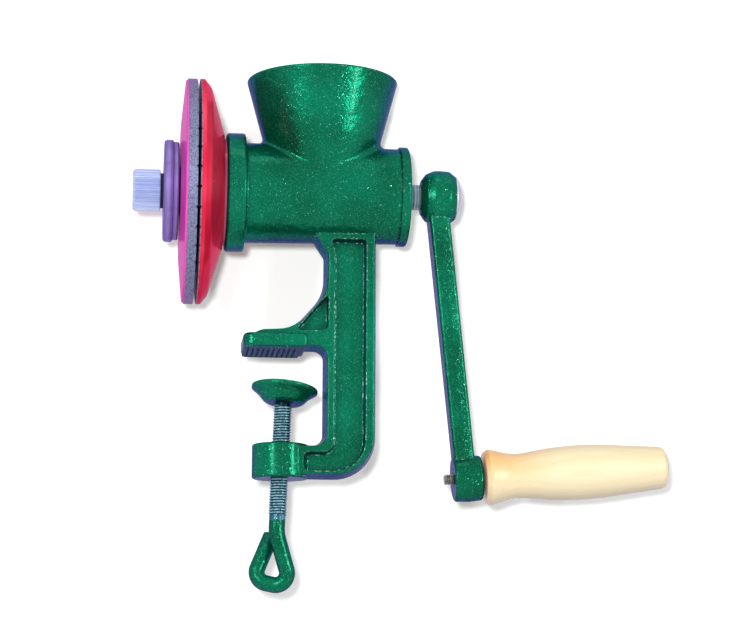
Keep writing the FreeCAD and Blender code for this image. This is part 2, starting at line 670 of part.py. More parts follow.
# The rear end: bush, thrust washers, collar, cover and its screws
def make_rear():
    """Make the pieces that carry the shaft at the rear and close the barrel."""
    bush = turned_on_shaft("shaft_bush", [
        (BUSH_FRONT, "stub_wide / 2 + running_gap"),
        (BUSH_FRONT, "bush_flange_wide / 2"),
        (WALL_FRONT, "bush_flange_wide / 2"),
        (WALL_FRONT, "bush_wide / 2 - seat_gap"),
        (POCKET_FLOOR, "bush_wide / 2 - seat_gap"),
        (POCKET_FLOOR, "stub_wide / 2 + running_gap"),
    ])
    collar_front = f"({POCKET_FLOOR} + thrust_washer_thick + end_gap)"
    spigot = f"({BARREL_END} - 0.9)"
    collar_back = f"({spigot} - thrust_washer_thick - end_gap)"
    washers = []
    for number, start in enumerate((POCKET_FLOOR, f"({spigot} - thrust_washer_thick)"), 1):
        washers.append(turned_on_shaft(f"thrust_washer_{number}", [
            (start, "stub_wide / 2 + 0.4"),
            (start, "thrust_washer_wide / 2"),
            (f"{start} + thrust_washer_thick", "thrust_washer_wide / 2"),
            (f"{start} + thrust_washer_thick", "stub_wide / 2 + 0.4"),
        ]))
    pair = doc.addObject("Part::Compound", "thrust_washers")
    pair.Links = washers
    pair.Label = "thrust_washers"
    pin_x = f"({collar_front} + {collar_back}) / 2"
    collar_blank = turned_on_shaft("collar_blank", [
        (collar_front, "stub_wide / 2 + seat_gap"),
        (collar_front, "collar_wide / 2", "0.5"),
        (collar_back, "collar_wide / 2", "0.5"),
        (collar_back, "stub_wide / 2 + seat_gap"),
    ])
    collar_hole = rod("collar_hole", "collar_pin_wide + 2 * seat_gap", "2 * collar_wide",
                      pin_x, "0", "shaft_height - collar_wide")
    collar = combine("cut", "thrust_collar", collar_blank, [collar_hole])
    pin = rod("collar_pin", "collar_pin_wide", "collar_wide - 1.2", pin_x, "0",
              "shaft_height - collar_wide / 2 + 0.6")
    blank = turned_on_shaft("cover_blank", [
        (spigot, "stub_wide / 2 + running_gap + 0.15"),
        (spigot, "rear_pocket_wide / 2 - seat_gap"),
        (BARREL_END, "rear_pocket_wide / 2 - seat_gap"),
        (BARREL_END, "cover_wide / 2", "0.7"),
        (COVER_FACE, "cover_wide / 2", "1.6"),
        (COVER_FACE, "stub_wide / 2 + running_gap + 0.15"),
    ])
    head = "cover_screw_wide * 2.1"
    drills = shaft_holes("cover_drill", "cover_screw_wide + 0.5", "cover_screw_circle",
                         f"{BARREL_END} - 1", "cover_thick + 2")
    drills += shaft_holes("cover_bore", head, "cover_screw_circle",
                          f"{COVER_FACE} - cover_screw_wide * 0.6", "cover_thick")
    cover = combine("cut", "rear_cover", blank, drills)
    screws = make_screws("rear_cover_screws", "cover_screw_wide", "cover_screw_circle",
                         f"{COVER_FACE} - cover_screw_wide * 0.6", 1, "cover_thick + 4")
    return [bush, pair, collar, pin, cover, screws], pin_x


def make_screws(label, across, circle, seat, way, length):
    """Make a ring of slotted cheese-head screws whose heads rest on a seat."""
    group = []
    for number in range(SCREWS_IN_RING):
        y, z = ring_place(circle, number)
        body = new_body(f"{label}_{number + 1}")
        revolve(body, [
            (f"{-way} * ({length})", "0"),
            (f"{-way} * ({length})", f"({across}) / 2 - seat_gap - 0.02"),
            ("0", f"({across}) / 2 - seat_gap - 0.02"),
            ("0", f"({across}) - 0.05"),
            (f"{way} * ({across}) * 0.55", f"({across}) - 0.05", "0.4"),
            (f"{way} * ({across}) * 0.55", "0"),
        ], f"{label}_turned_{number + 1}")
        slot = new_sketch(body, f"{label}_slot_{number + 1}", "XY_Plane", f"-({across})")
        draw(slot, [
            (f"{way} * ({across}) * 0.3", f"-({across}) * 0.11"),
            (f"{way} * ({across}) * 0.8", f"-({across}) * 0.11"),
            (f"{way} * ({across}) * 0.8", f"({across}) * 0.11"),
            (f"{way} * ({across}) * 0.3", f"({across}) * 0.11"),
        ])
        pocket(body, slot, f"{label}_slot_cut_{number + 1}", f"({across}) * 2", reverse=True)
        place(body, seat, y, z)
        group.append(body)
    ring = doc.addObject("Part::Compound", label)
    ring.Links = group
    ring.Label = label
    return ring


# The discs and what presses them
def grinding_grooves(body, label, face, way):
    """Cut radial grooves into a disc's grinding face."""
    sketch = new_sketch(body, f"{label}_groove", "XY_Plane", "land_inner / 2 - 2")
    draw(sketch, [
        (f"{face} - {way} * groove_deep", "0"),
        (f"{face} + {way} * 0.5", "-groove_half"),
        (f"{face} + {way} * 0.5", "groove_half"),
    ])
    cut = pocket(body, sketch, f"{label}_groove_cut", "disc_wide / 2", reverse=True)
    pattern_round(body, [cut], f"{label}_grooves", TEETH_ON_DISC)


def make_fixed_disc():
    """Turn the fixed disc, groove its face and drill it for its screws."""
    edge = "disc_wide / 2"
    mouth = "disc_mouth / 2"
    funnel = f"({FIXED_FRONT} + 7.1)"
    seat = "(-flange_reach - seat_high)"
    body = new_body("fixed_disc_blank")
    revolve(body, [
        ("-flange_reach", mouth),
        ("-flange_reach", "seat_wide / 2"),
        (seat, "seat_wide / 2"),
        (seat, "fixed_hub_wide / 2", "0.8"),
        (f"{FIXED_FRONT} + fixed_rim_thick + 3.7", f"{edge} - 4.6", "6"),
        (f"{FIXED_FRONT} + fixed_rim_thick", edge, "0.8"),
        (FIXED_FRONT, edge, "0.5"),
        (FIXED_FRONT, "land_inner / 2"),
        (funnel, f"{mouth} + 5"),
        (funnel, mouth),
    ], "fixed_disc_turned")
    grinding_grooves(body, "fixed", FIXED_FRONT, -1)
    place(body, z="shaft_height")
    head_seat = "(-flange_reach - 5.2)"
    drills = shaft_holes("disc_drill", "disc_screw_wide + 0.5", "disc_screw_circle",
                         f"{head_seat} - 1", "8")
    drills += shaft_holes("disc_bore", "disc_screw_wide * 2.1", "disc_screw_circle",
                          f"{head_seat} - 9", "9")
    disc = combine("cut", "fixed_disc", body, drills)
    screws = make_screws("fixed_disc_screws", "disc_screw_wide", "disc_screw_circle",
                         head_seat, -1, "5.2 + flange_long - 1.5")
    return [disc, screws]


def make_moving_disc():
    """Turn the moving disc, groove its face and cut its keyway."""
    edge = "disc_wide / 2"
    bore = "journal_wide / 2 + running_gap"
    crown = f"({MOVING_RIM} - crown_high)"
    recess = f"({MOVING_BACK} - 3.4)"
    body = new_body("moving_disc_blank")
    revolve(body, [
        (MOVING_HUB, bore),
        (MOVING_HUB, "moving_hub_wide / 2"),
        (crown, "moving_hub_wide / 2 + 0.6"),
        (crown, "disc_wide * 0.31", "60"),
        (f"{MOVING_RIM} - 1.0", f"{edge} - 1.0", "0.9"),
        (MOVING_RIM, f"{edge} - 0.5"),
        (MOVING_RIM, edge, "0.4"),
        (MOVING_BACK, edge, "0.5"),
        (MOVING_BACK, "land_inner / 2"),
        (recess, "land_inner / 2 - 18", "4"),
        (recess, "moving_hub_wide / 2 + 2", "1.5"),
        (f"{MOVING_BACK} - 1", "moving_hub_wide / 2 + 1", "1"),
        (f"{MOVING_BACK} - 1", bore),
    ], "moving_disc_turned")
    grinding_grooves(body, "moving", MOVING_BACK, 1)
    place(body, z="shaft_height")
    keyway = block("keyway", "30", "key_wide + 2 * running_gap",
                   "(journal_wide + key_wide) / 2 - 0.3",
                   f"{MOVING_HUB} - 5", "-key_wide / 2 - running_gap", "shaft_height")
    return combine("cut", "moving_disc", body, [keyway])


def make_pressure_set():
    """Make the backing plate, the pressure ring and the fibre washer."""
    bore = "adjuster_wide / 2 + running_gap"
    plate = turned_on_shaft("backing_plate", [
        (PLATE_FRONT, bore),
        (PLATE_FRONT, "plate_wide / 2", "0.3"),
        (MOVING_HUB, "plate_wide / 2", "0.9"),
        (MOVING_HUB, bore),
    ])
    ring = turned_on_shaft("pressure_ring", [
        (RING_FRONT, bore),
        (RING_FRONT, "ring_wide / 2", "1.7"),
        (PLATE_FRONT, "ring_wide / 2", "0.9"),
        (PLATE_FRONT, bore),
    ])
    fibre = turned_on_shaft("knob_washer", [
        (FIBRE_FRONT, bore),
        (FIBRE_FRONT, "knob_washer_wide / 2"),
        (RING_FRONT, "knob_washer_wide / 2"),
        (RING_FRONT, bore),
    ])
    return [plate, ring, fibre]


def make_knob():
    """Turn the closed knob and cut its straight knurl."""
    body = new_body("adjusting_knob")
    floor = f"({KNOB_FRONT} + knob_floor)"
    bore = "adjuster_wide / 2 + running_gap"
    revolve(body, [
        (KNOB_FRONT, "0"),
        (KNOB_FRONT, "knob_wide / 2 - knob_edge"),
        (f"{KNOB_FRONT} + knob_edge", "knob_wide / 2"),
        (f"{KNOB_BACK} - 0.6", "knob_wide / 2"),
        (KNOB_BACK, "knob_wide / 2 - 0.6"),
        (KNOB_BACK, f"{bore} + 0.6"),
        (f"{KNOB_BACK} - 0.6", bore),
        (floor, bore),
        (floor, "0"),
    ], "knob_turned")
    half = f"(knob_wide * {round(math.sin(math.pi / KNURL_RIDGES), 6)} * 0.42)"
    sketch = new_sketch(body, "knurl_outline", "XY_Plane", "knob_wide / 2 - knurl_deep")
    draw(sketch, [
        (f"{KNOB_FRONT} - 1", f"-{half} * 0.3"),
        (f"{KNOB_BACK} + 1", f"-{half} * 0.3"),
        (f"{KNOB_BACK} + 1", f"{half} * 0.3"),
        (f"{KNOB_FRONT} - 1", f"{half} * 0.3"),
    ])
    doc.recompute()
    cut = body.newObject("PartDesign::Pocket", "knurl_cut")
    cut.Profile = sketch
    cut.Reversed = True
    bind(cut, "Length", "knurl_deep + 0.4")
    cut.TaperAngle = 38
    pattern_round(body, [cut], "knurl", KNURL_RIDGES)
    place(body, z="shaft_height")
    return body


# The shaft with its auger, key and crank
def make_shaft(pin_x):
    """Turn the shaft, wind its flight and cut its key slot, square, pin hole and tapping."""
    body = new_body("shaft_blank")
    corner = "stub_wide / 2"
    revolve(body, [
        (ADJUSTER_END, "0"),
        (ADJUSTER_END, "adjuster_wide / 2 - 0.8"),
        (f"{ADJUSTER_END} + 0.8", "adjuster_wide / 2"),
        (JOURNAL_FRONT, "adjuster_wide / 2"),
        (JOURNAL_FRONT, "journal_wide / 2 - 0.4"),
        (f"{JOURNAL_FRONT} + 0.4", "journal_wide / 2"),
        (JOURNAL_BACK, "journal_wide / 2"),
        (f"{JOURNAL_BACK} + 2", "root_wide / 2"),
        (AUGER_END, "root_wide / 2"),
        (AUGER_END, corner),
        (f"{HUB_BACK} - 1.2", corner),
        (f"{HUB_BACK} - 1.2", "0"),
    ], "shaft_turned")
    start = "(-flange_reach + 0.6)"
    sketch = new_sketch(body, "flight_profile")
    draw(sketch, [
        (start, "root_wide / 2 - 2"),
        (f"{start} + flight_thick", "root_wide / 2 - 2"),
        (f"{start} + flight_thick * 0.8", "flight_wide / 2"),
        (f"{start} + flight_thick * 0.2", "flight_wide / 2"),
    ])
    doc.recompute()
    flight = body.newObject("PartDesign::AdditiveHelix", "flight")
    flight.Profile = sketch
    flight.ReferenceAxis = (origin_part(body, "X_Axis"), [""])
    flight.Mode = 0
    bind(flight, "Pitch", "flight_pitch")
    bind(flight, "Height", f"{AUGER_END} - {start} - flight_thick - 0.5")
    place(body, z="shaft_height")
    slot = block("key_slot", "key_long + 2 * seat_gap", "key_wide + 2 * seat_gap", "10",
                 f"{JOURNAL_FRONT} - seat_gap", "-key_wide / 2 - seat_gap",
                 "shaft_height + journal_wide / 2 - key_wide / 2")
    pin_hole = rod("shaft_pin_hole", "collar_pin_wide + 2 * seat_gap", "2 * stub_wide",
                   pin_x, "0", "shaft_height - stub_wide")
    tapping = rod("shaft_tapping", "crank_screw_wide", "hub_long", f"{HUB_BACK} - hub_long + 1.6",
                  "0", "shaft_height", turn="90")
    flats = []
    for name, y, z, deep, high in (
        ("above", "-stub_wide", "shaft_height + square_wide / 2", "2 * stub_wide", "stub_wide"),
        ("below", "-stub_wide", "shaft_height - square_wide / 2 - stub_wide", "2 * stub_wide",
         "stub_wide"),
        ("near", "-square_wide / 2 - stub_wide", "shaft_height - stub_wide", "stub_wide",
         "2 * stub_wide"),
        ("far", "square_wide / 2", "shaft_height - stub_wide", "stub_wide", "2 * stub_wide"),
    ):
        flats.append(block(f"flat_{name}", "hub_long + 5", deep, high, f"{HUB_FRONT} + 1", y, z))
    shaft = combine("cut", "auger_shaft", body, [slot, pin_hole, tapping] + flats)
    key = block("disc_key", "key_long", "key_wide", "key_wide - 0.4", JOURNAL_FRONT,
                "-key_wide / 2", "shaft_height + journal_wide / 2 - key_wide / 2")
    return [shaft, key]


def at_handle(thing, along, extra="0"):
    """Put a piece on the handle's axis, a distance out from the boss's inner face."""
    turn = f"-handle_rise + ({extra})"
    place(thing, f"{BOSS_START_X} + ({along}) * cos(handle_rise)", "0",
          f"shaft_height - crank_throw + ({along}) * sin(handle_rise)", turn=turn)


BOSS_START_X = (
    f"({HUB_FRONT} + hub_long * 0.52 + crank_throw * tan(crank_splay)"
    " - handle_boss_long / 2)"
)


def make_crank():
    """Join the crank's hub, arm and boss, and cut its square hole and its tapping."""
    hub = turned_on_shaft("crank_hub", [
        (HUB_FRONT, "0"),
        (HUB_FRONT, "hub_wide * 0.31", "1"),
        (f"{HUB_FRONT} + 2.6", "hub_wide * 0.43", "2"),
        (f"{HUB_FRONT} + hub_long * 0.37", "hub_wide / 2 - 0.2", "2"),
        (f"{HUB_FRONT} + hub_long * 0.52", "hub_wide / 2", "2"),
        (f"{HUB_BACK} - 3.4", "hub_wide / 2 - 0.3", "2.5"),
        (HUB_BACK, "dome_wide / 2 + 0.2", "0.8"),
        (HUB_BACK, "0"),
    ])
    boss = new_body("crank_boss")
    revolve(boss, [
        ("0", "0"),
        ("0", "handle_boss_wide / 2 - 0.5", "1.4"),
        ("handle_boss_long / 2", "handle_boss_wide / 2", "6"),
        ("handle_boss_long", "handle_boss_wide / 2 - 0.5", "1.4"),
        ("handle_boss_long", "0"),
    ], "crank_boss_turned")
    at_handle(boss, "0")
    arm = new_body("crank_bar")
    low = new_sketch(arm, "bar_low", "XY_Plane", "-crank_throw / cos(crank_splay) + 2")
    draw(low, bar_section("arm_wide_low"))
    high = new_sketch(arm, "bar_high", "XY_Plane", "-hub_wide * 0.25")
    draw(high, bar_section("arm_wide_top"))
    loft = arm.newObject("PartDesign::AdditiveLoft", "bar_loft")
    loft.Profile = high
    loft.Sections = [low]
    place(arm, f"{HUB_FRONT} + hub_long * 0.46", "0", "shaft_height", turn="-crank_splay")
    solid = combine("fuse", "crank_solid", hub, [boss, arm])
    square = block("crank_square", "hub_long + 4", "square_wide + 2 * seat_gap",
                   "square_wide + 2 * seat_gap", f"{HUB_FRONT} - 2",
                   "-square_wide / 2 - seat_gap", "shaft_height - square_wide / 2 - seat_gap")
    mouth = rod("crank_mouth", "stub_wide + 0.3", "3", f"{HUB_FRONT} - 2", "0", "shaft_height",
                turn="90")
    hole = new_body("boss_tapping")
    revolve(hole, [
        ("-5", "0"),
        ("-5", "bolt_wide / 2 + seat_gap"),
        ("handle_boss_long + 5", "bolt_wide / 2 + seat_gap"),
        ("handle_boss_long + 5", "0"),
    ], "boss_tapping_turned")
    at_handle(hole, "0")
    crank = combine("cut", "crank_arm", solid, [square, mouth, hole])
    screw = turned_on_shaft("crank_screw", [
        (f"{HUB_BACK} - hub_long + 2.6", "0"),
        (f"{HUB_BACK} - hub_long + 2.6", "crank_screw_wide / 2 - seat_gap"),
        (HUB_BACK, "crank_screw_wide / 2 - seat_gap"),
        (HUB_BACK, "dome_wide / 2", "0.4"),
        (f"{HUB_BACK} + 1", "dome_wide / 2", "0.6"),
        (f"{HUB_BACK} + dome_high * 0.75", "dome_wide * 0.3", "14"),
        (f"{HUB_BACK} + dome_high", "dome_wide * 0.08", "3"),
        (f"{HUB_BACK} + dome_high", "0"),
    ])
    return [crank, screw]


def bar_section(across):
    """Give the corners of the crank arm's section, with a ridge on its two sides."""
    half = "arm_thick / 2"
    side = f"({across}) / 2"
    return [
        ("0", f"-{side}", "2.5"),
        (half, f"-{side} + arm_ridge", "arm_edge"),
        (half, f"{side} - arm_ridge", "arm_edge"),
        ("0", side, "2.5"),
        (f"-{half}", f"{side} - arm_ridge", "arm_edge"),
        (f"-{half}", f"-{side} + arm_ridge", "arm_edge"),
    ]


def make_handle():
    """Turn the wooden grip, its bolt and its two washers."""
    start = "(handle_boss_long + handle_washer_thick + end_gap)"
    sink = "bolt_head_high - 1.5 + handle_washer_thick + end_gap"
    bore = "bolt_wide / 2 + running_gap"
    well = "handle_washer_wide / 2 + 0.4"
    grip = new_body("handle_grip")
    revolve(grip, [
        ("0", bore),
        ("0", "grip_flare_wide / 2 - 1.6", "1.5"),
        ("2.8", "grip_flare_wide / 2 + 0.4", "2.2"),
        ("grip_long * 0.165", "grip_neck_wide / 2 - 0.3", "30"),
        ("grip_long * 0.5", "grip_belly_wide / 2 + 0.3", "170"),
        ("grip_long", "grip_tip_wide / 2", "4.2"),
        ("grip_long", well),
        (f"grip_long - ({sink})", well),
        (f"grip_long - ({sink})", bore),
    ], "grip_turned")
    at_handle(grip, start)
    washers = []
    outer = f"{start} + grip_long - ({sink}) + end_gap"
    for number, along in enumerate(("handle_boss_long", outer), start=1):
        washer = new_body(f"handle_washer_{number}")
        revolve(washer, [
            ("0", "bolt_wide / 2 + seat_gap"),
            ("0", "handle_washer_wide / 2", "0.2"),
            ("handle_washer_thick", "handle_washer_wide / 2", "0.2"),
            ("handle_washer_thick", "bolt_wide / 2 + seat_gap"),
        ], f"handle_washer_turned_{number}")
        at_handle(washer, along)
        washers.append(washer)
    pair = doc.addObject("Part::Compound", "handle_washers")
    pair.Links = washers
    pair.Label = "handle_washers"
    bolt = new_body("handle_bolt")
    head = f"({outer} + handle_washer_thick)"
    revolve(bolt, [
        ("-bolt_proud", "0"),
        ("-bolt_proud", "bolt_wide / 2 - 0.6"),
        ("-bolt_proud + 0.6", "bolt_wide / 2"),
        (head, "bolt_wide / 2"),
        (head, "bolt_head_wide / 2", "0.3"),
        (f"{head} + bolt_head_high * 0.55", "bolt_head_wide / 2", "1"),
        (f"{head} + bolt_head_high", "bolt_head_wide / 4", "3"),
        (f"{head} + bolt_head_high", "0"),
    ], "bolt_turned")
    slot = new_sketch(bolt, "bolt_slot", "XY_Plane", "-bolt_head_wide")
    draw(slot, [
        (f"{head} + bolt_head_high - 1.4", "-0.6"),
        (f"{head} + bolt_head_high + 1", "-0.6"),
        (f"{head} + bolt_head_high + 1", "0.6"),
        (f"{head} + bolt_head_high - 1.4", "0.6"),
    ])
    pocket(bolt, slot, "bolt_slot_cut", "bolt_head_wide * 2", reverse=True)
    at_handle(bolt, "0")
    return [grip, pair, bolt]


# The clamp screw with its eye, its washer and the pad that swivels on it
def on_screw_axis(thing):
    """Lean a piece with the clamp screw's axis."""
    place(thing, turn="screw_lean")


def bent_rod(points, radii, across):
    """Sweep a round bar along straight runs joined by arcs."""
    edges = []
    start = points[0]
    for index in range(1, len(points) - 1):
        corner = points[index]
        before = (start - corner).normalize()
        after = (points[index + 1] - corner).normalize()
        half = before.getAngle(after) / 2
        reach = radii[index - 1] / math.tan(half)
        inward = (before + after).normalize()
        nearest = corner + inward * (radii[index - 1] / math.sin(half) - radii[index - 1])
        first, last = corner + before * reach, corner + after * reach
        edges.append(Part.LineSegment(start, first).toShape())
        edges.append(Part.Arc(first, nearest, last).toShape())
        start = last
    edges.append(Part.LineSegment(start, points[-1]).toShape())
    path = Part.Wire(edges)
    way = (points[1] - points[0]).normalize()
    circle = Part.Wire(Part.Circle(points[0], way, across / 2).toShape())
    return path.makePipeShell([circle], True, False)


def make_clamp_screw():
    """Turn the threaded screw with its riveted nose and join its bent eye."""
    stem = new_body("screw_stem")
    outer = "screw_wide / 2"
    inner = "screw_wide / 2 - thread_deep"
    neck = "nose_wide / 2"
    corners = [("0", f"{PEEN_LOW} + peen_high"), ("0", "-thread_end - 6")]
    corners += [("rod_wide / 2", "-thread_end - 6"), ("rod_wide / 2", "-thread_end - 0.4")]
    turns = int((size(SHOULDER) + size("thread_end")) / size("screw_pitch"))
    for turn in range(turns):
        foot = f"-thread_end + {turn} * screw_pitch"
        corners += [
            (inner, f"{foot} + screw_pitch * 0.06"),
            (outer, f"{foot} + screw_pitch * 0.44"),
            (outer, f"{foot} + screw_pitch * 0.56"),
            (inner, f"{foot} + screw_pitch * 0.94"),
        ]
    corners += [
        (inner, SHOULDER),
        (neck, SHOULDER),
        (neck, PEEN_LOW),
        (f"{neck} + 1.5", PEEN_LOW),
        (f"{neck} + 1.5", f"{PEEN_LOW} + peen_high * 0.4", "0.6"),
        (f"{neck} - 1", f"{PEEN_LOW} + peen_high", "1"),
    ]
    revolve(stem, corners, "screw_turned", along="V_Axis")
    eye = doc.addObject("Part::Feature", "screw_eye")
    behind = size("rod_wide") + 0.6
    points = [
        POINT(0, 0, -size("thread_end") - 1),
        POINT(0, 0, -size("eye_start")),
        POINT(size("eye_right"), behind * 0.2, -size("eye_low") - 0.7),
        POINT(-size("eye_left") - 0.9, behind * 0.65, -size("eye_low") + 3.2),
        POINT(-size("rod_wide") * 0.25, behind, -size("eye_start") - 0.5),
    ]
    bend = size("eye_bend")
    eye.Shape = bent_rod(points, [3 * bend, bend, bend], size("rod_wide"))
    screw = combine("fuse", "clamp_screw", stem, [eye])
    on_screw_axis(screw)
    washer = new_body("pad_washer")
    revolve(washer, [
        ("nose_wide / 2 + running_gap", WASHER_LOW),
        ("pad_washer_wide / 2", WASHER_LOW, "0.25"),
        ("pad_washer_wide / 2", f"{WASHER_LOW} + pad_washer_thick", "0.25"),
        ("nose_wide / 2 + running_gap", f"{WASHER_LOW} + pad_washer_thick"),
    ], "pad_washer_turned", along="V_Axis")
    on_screw_axis(washer)
    return [screw, washer]


def make_pad():
    """Turn the dished pad and hang it on the screw's nose as it hangs at rest."""
    body = new_body("clamp_pad")
    rim = f"({HUB_UNDER} + pad_high)"
    outer = "pad_wide / 2"
    revolve(body, [
        ("pad_hole / 2", HUB_UNDER),
        ("pad_hub / 2", HUB_UNDER, "4.5"),
        (f"{outer} - 3.8", f"{HUB_UNDER} + pad_high * 0.5", "7"),
        (outer, f"{rim} - pad_lip", "0.8"),
        (outer, rim, "0.5"),
        (f"{outer} - 1.4", rim, "0.5"),
        (f"{outer} - 3.8 - pad_wall * 0.6", f"{HUB_UNDER} + pad_high * 0.5 + pad_wall * 0.9", "5"),
        ("pad_hub / 2 - 1.2", "pad_wall / 2", "3"),
        ("pad_hole / 2", "pad_wall / 2"),
    ], "pad_turned", along="V_Axis")
    hang = FreeCAD.Rotation(POINT(1, 0, 0), -size("pad_tilt_front"))
    side = FreeCAD.Rotation(POINT(0, 1, 0), size("pad_tilt_side"))
    body.Placement = FreeCAD.Placement(POINT(0, 0, 0), side * hang)
    for letter, text in (("x", "-pivot_drop * sin(screw_lean)"),
                         ("z", "-pivot_drop * cos(screw_lean)")):
        bind(body, f".Placement.Base.{letter}", text)
    return body


def check_and_write(pieces):
    """Check every object and piece, then write one file for each piece."""
    doc.recompute()
    for thing in doc.Objects:
        if "Invalid" in thing.State or "Error" in thing.State:
            raise RuntimeError(f"{thing.Label} failed: {thing.State}")
    os.makedirs("parts", exist_ok=True)
    for piece in pieces:
        shape = piece.Shape
        if shape.isNull() or not shape.isValid() or not shape.Solids:
            raise RuntimeError(f"{piece.Label} has no valid solid")
        for solid in shape.Solids:
            if solid.Volume <= 0:
                raise RuntimeError(f"{piece.Label} holds an empty solid")
        shape.exportStep(f"parts/{piece.Label}.step")
        print(f"{piece.Label}: {len(shape.Solids)} solid(s), {shape.Volume:.1f} mm3")


rear_pieces, collar_pin_x = make_rear()
all_pieces = [make_casting()] + rear_pieces + make_fixed_disc() + [make_moving_disc()]
all_pieces += make_pressure_set() + [make_knob()] + make_shaft(collar_pin_x) + make_crank()
all_pieces += make_handle() + make_clamp_screw() + [make_pad()]
check_and_write(all_pieces)
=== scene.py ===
"""Looks of a hand crank peanut grinder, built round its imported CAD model.

Lengths are in metres in the CAD frame. The origin is the jaw's clamping face on the clamp screw's
axis, X runs along the shaft towards the crank, and Z points up.
"""

import json
import logging
import math
from collections.abc import Sequence
from dataclasses import dataclass
from enum import Enum
from functools import cache

import bpy
from mathutils import Matrix, Vector

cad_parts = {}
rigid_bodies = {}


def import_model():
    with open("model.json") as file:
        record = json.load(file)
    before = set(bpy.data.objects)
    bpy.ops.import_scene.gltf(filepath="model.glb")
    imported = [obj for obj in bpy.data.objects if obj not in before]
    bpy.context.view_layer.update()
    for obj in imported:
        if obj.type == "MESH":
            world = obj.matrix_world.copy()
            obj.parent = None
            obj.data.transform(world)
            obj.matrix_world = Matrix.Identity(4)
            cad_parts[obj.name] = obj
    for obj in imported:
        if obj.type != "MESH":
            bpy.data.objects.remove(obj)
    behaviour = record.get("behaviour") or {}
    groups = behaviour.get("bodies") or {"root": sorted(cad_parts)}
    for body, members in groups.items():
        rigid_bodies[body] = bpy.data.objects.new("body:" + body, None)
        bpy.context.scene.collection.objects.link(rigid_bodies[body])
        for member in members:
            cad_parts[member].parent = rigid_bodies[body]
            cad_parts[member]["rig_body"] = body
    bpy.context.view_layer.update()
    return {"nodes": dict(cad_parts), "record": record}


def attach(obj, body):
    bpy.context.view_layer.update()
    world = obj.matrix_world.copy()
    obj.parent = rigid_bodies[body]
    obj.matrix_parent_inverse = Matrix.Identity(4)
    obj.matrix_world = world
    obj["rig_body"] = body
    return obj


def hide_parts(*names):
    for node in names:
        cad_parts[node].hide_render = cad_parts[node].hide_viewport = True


LOG = logging.getLogger("grinder")
MM = 0.001
SHAFT_HEIGHT = 88.9 * MM
SCREEN_TOP = 255
WEAR_SAMPLES = 6
SMOOTH_ANGLE = math.radians(32.0)
MERGE_REACH = 0.002 * MM
# Size, detail and weight of each noise in the skin of a casting
SKIN_WAVES = ((9 * MM, 2.0, 1.0), (3.2 * MM, 3.0, 0.5), (1.1 * MM, 2.0, 0.18))
# Whether a point of the thread's outline is on the crest, and its height as a share of the pitch
THREAD_OUTLINE = ((False, 0.0), (False, 0.12), (True, 0.46), (True, 0.6), (False, 0.94), (False, 1.0))
Colour = tuple[float, float, float, float]
Point = tuple[float, float, float]
Socket = bpy.types.NodeSocket


class Slot(Enum):
    """The record's material slots that are dressed by name."""

    GREEN = "green_paint"
    RED = "red_paint"
    PINK = "pink_paint"
    IRON = "bare_iron"
    KNURLED = "knurled_steel"
    FIBRE = "fibre"
    SHAFT = "shaft_steel"
    HARDENED = "hardened_steel"
    ZINC = "zinc_steel"
    BRIGHT = "bright_steel"
    BRONZE = "bronze"
    CLAMP = "clamp_steel"


def colour(red: int, green: int, blue: int) -> Colour:
    """Turn a screen colour into the linear one that a shader takes.

    Args:
        red: Red from 0 to 255.
        green: Green from 0 to 255.
        blue: Blue from 0 to 255.

    Returns:
        The linear colour, opaque.
    """

    def linear(value: int) -> float:
        """Undo the screen's curve for one channel."""
        share = value / SCREEN_TOP
        return share / 12.92 if share <= 0.04045 else ((share + 0.055) / 1.055) ** 2.4

    return linear(red), linear(green), linear(blue), 1.0


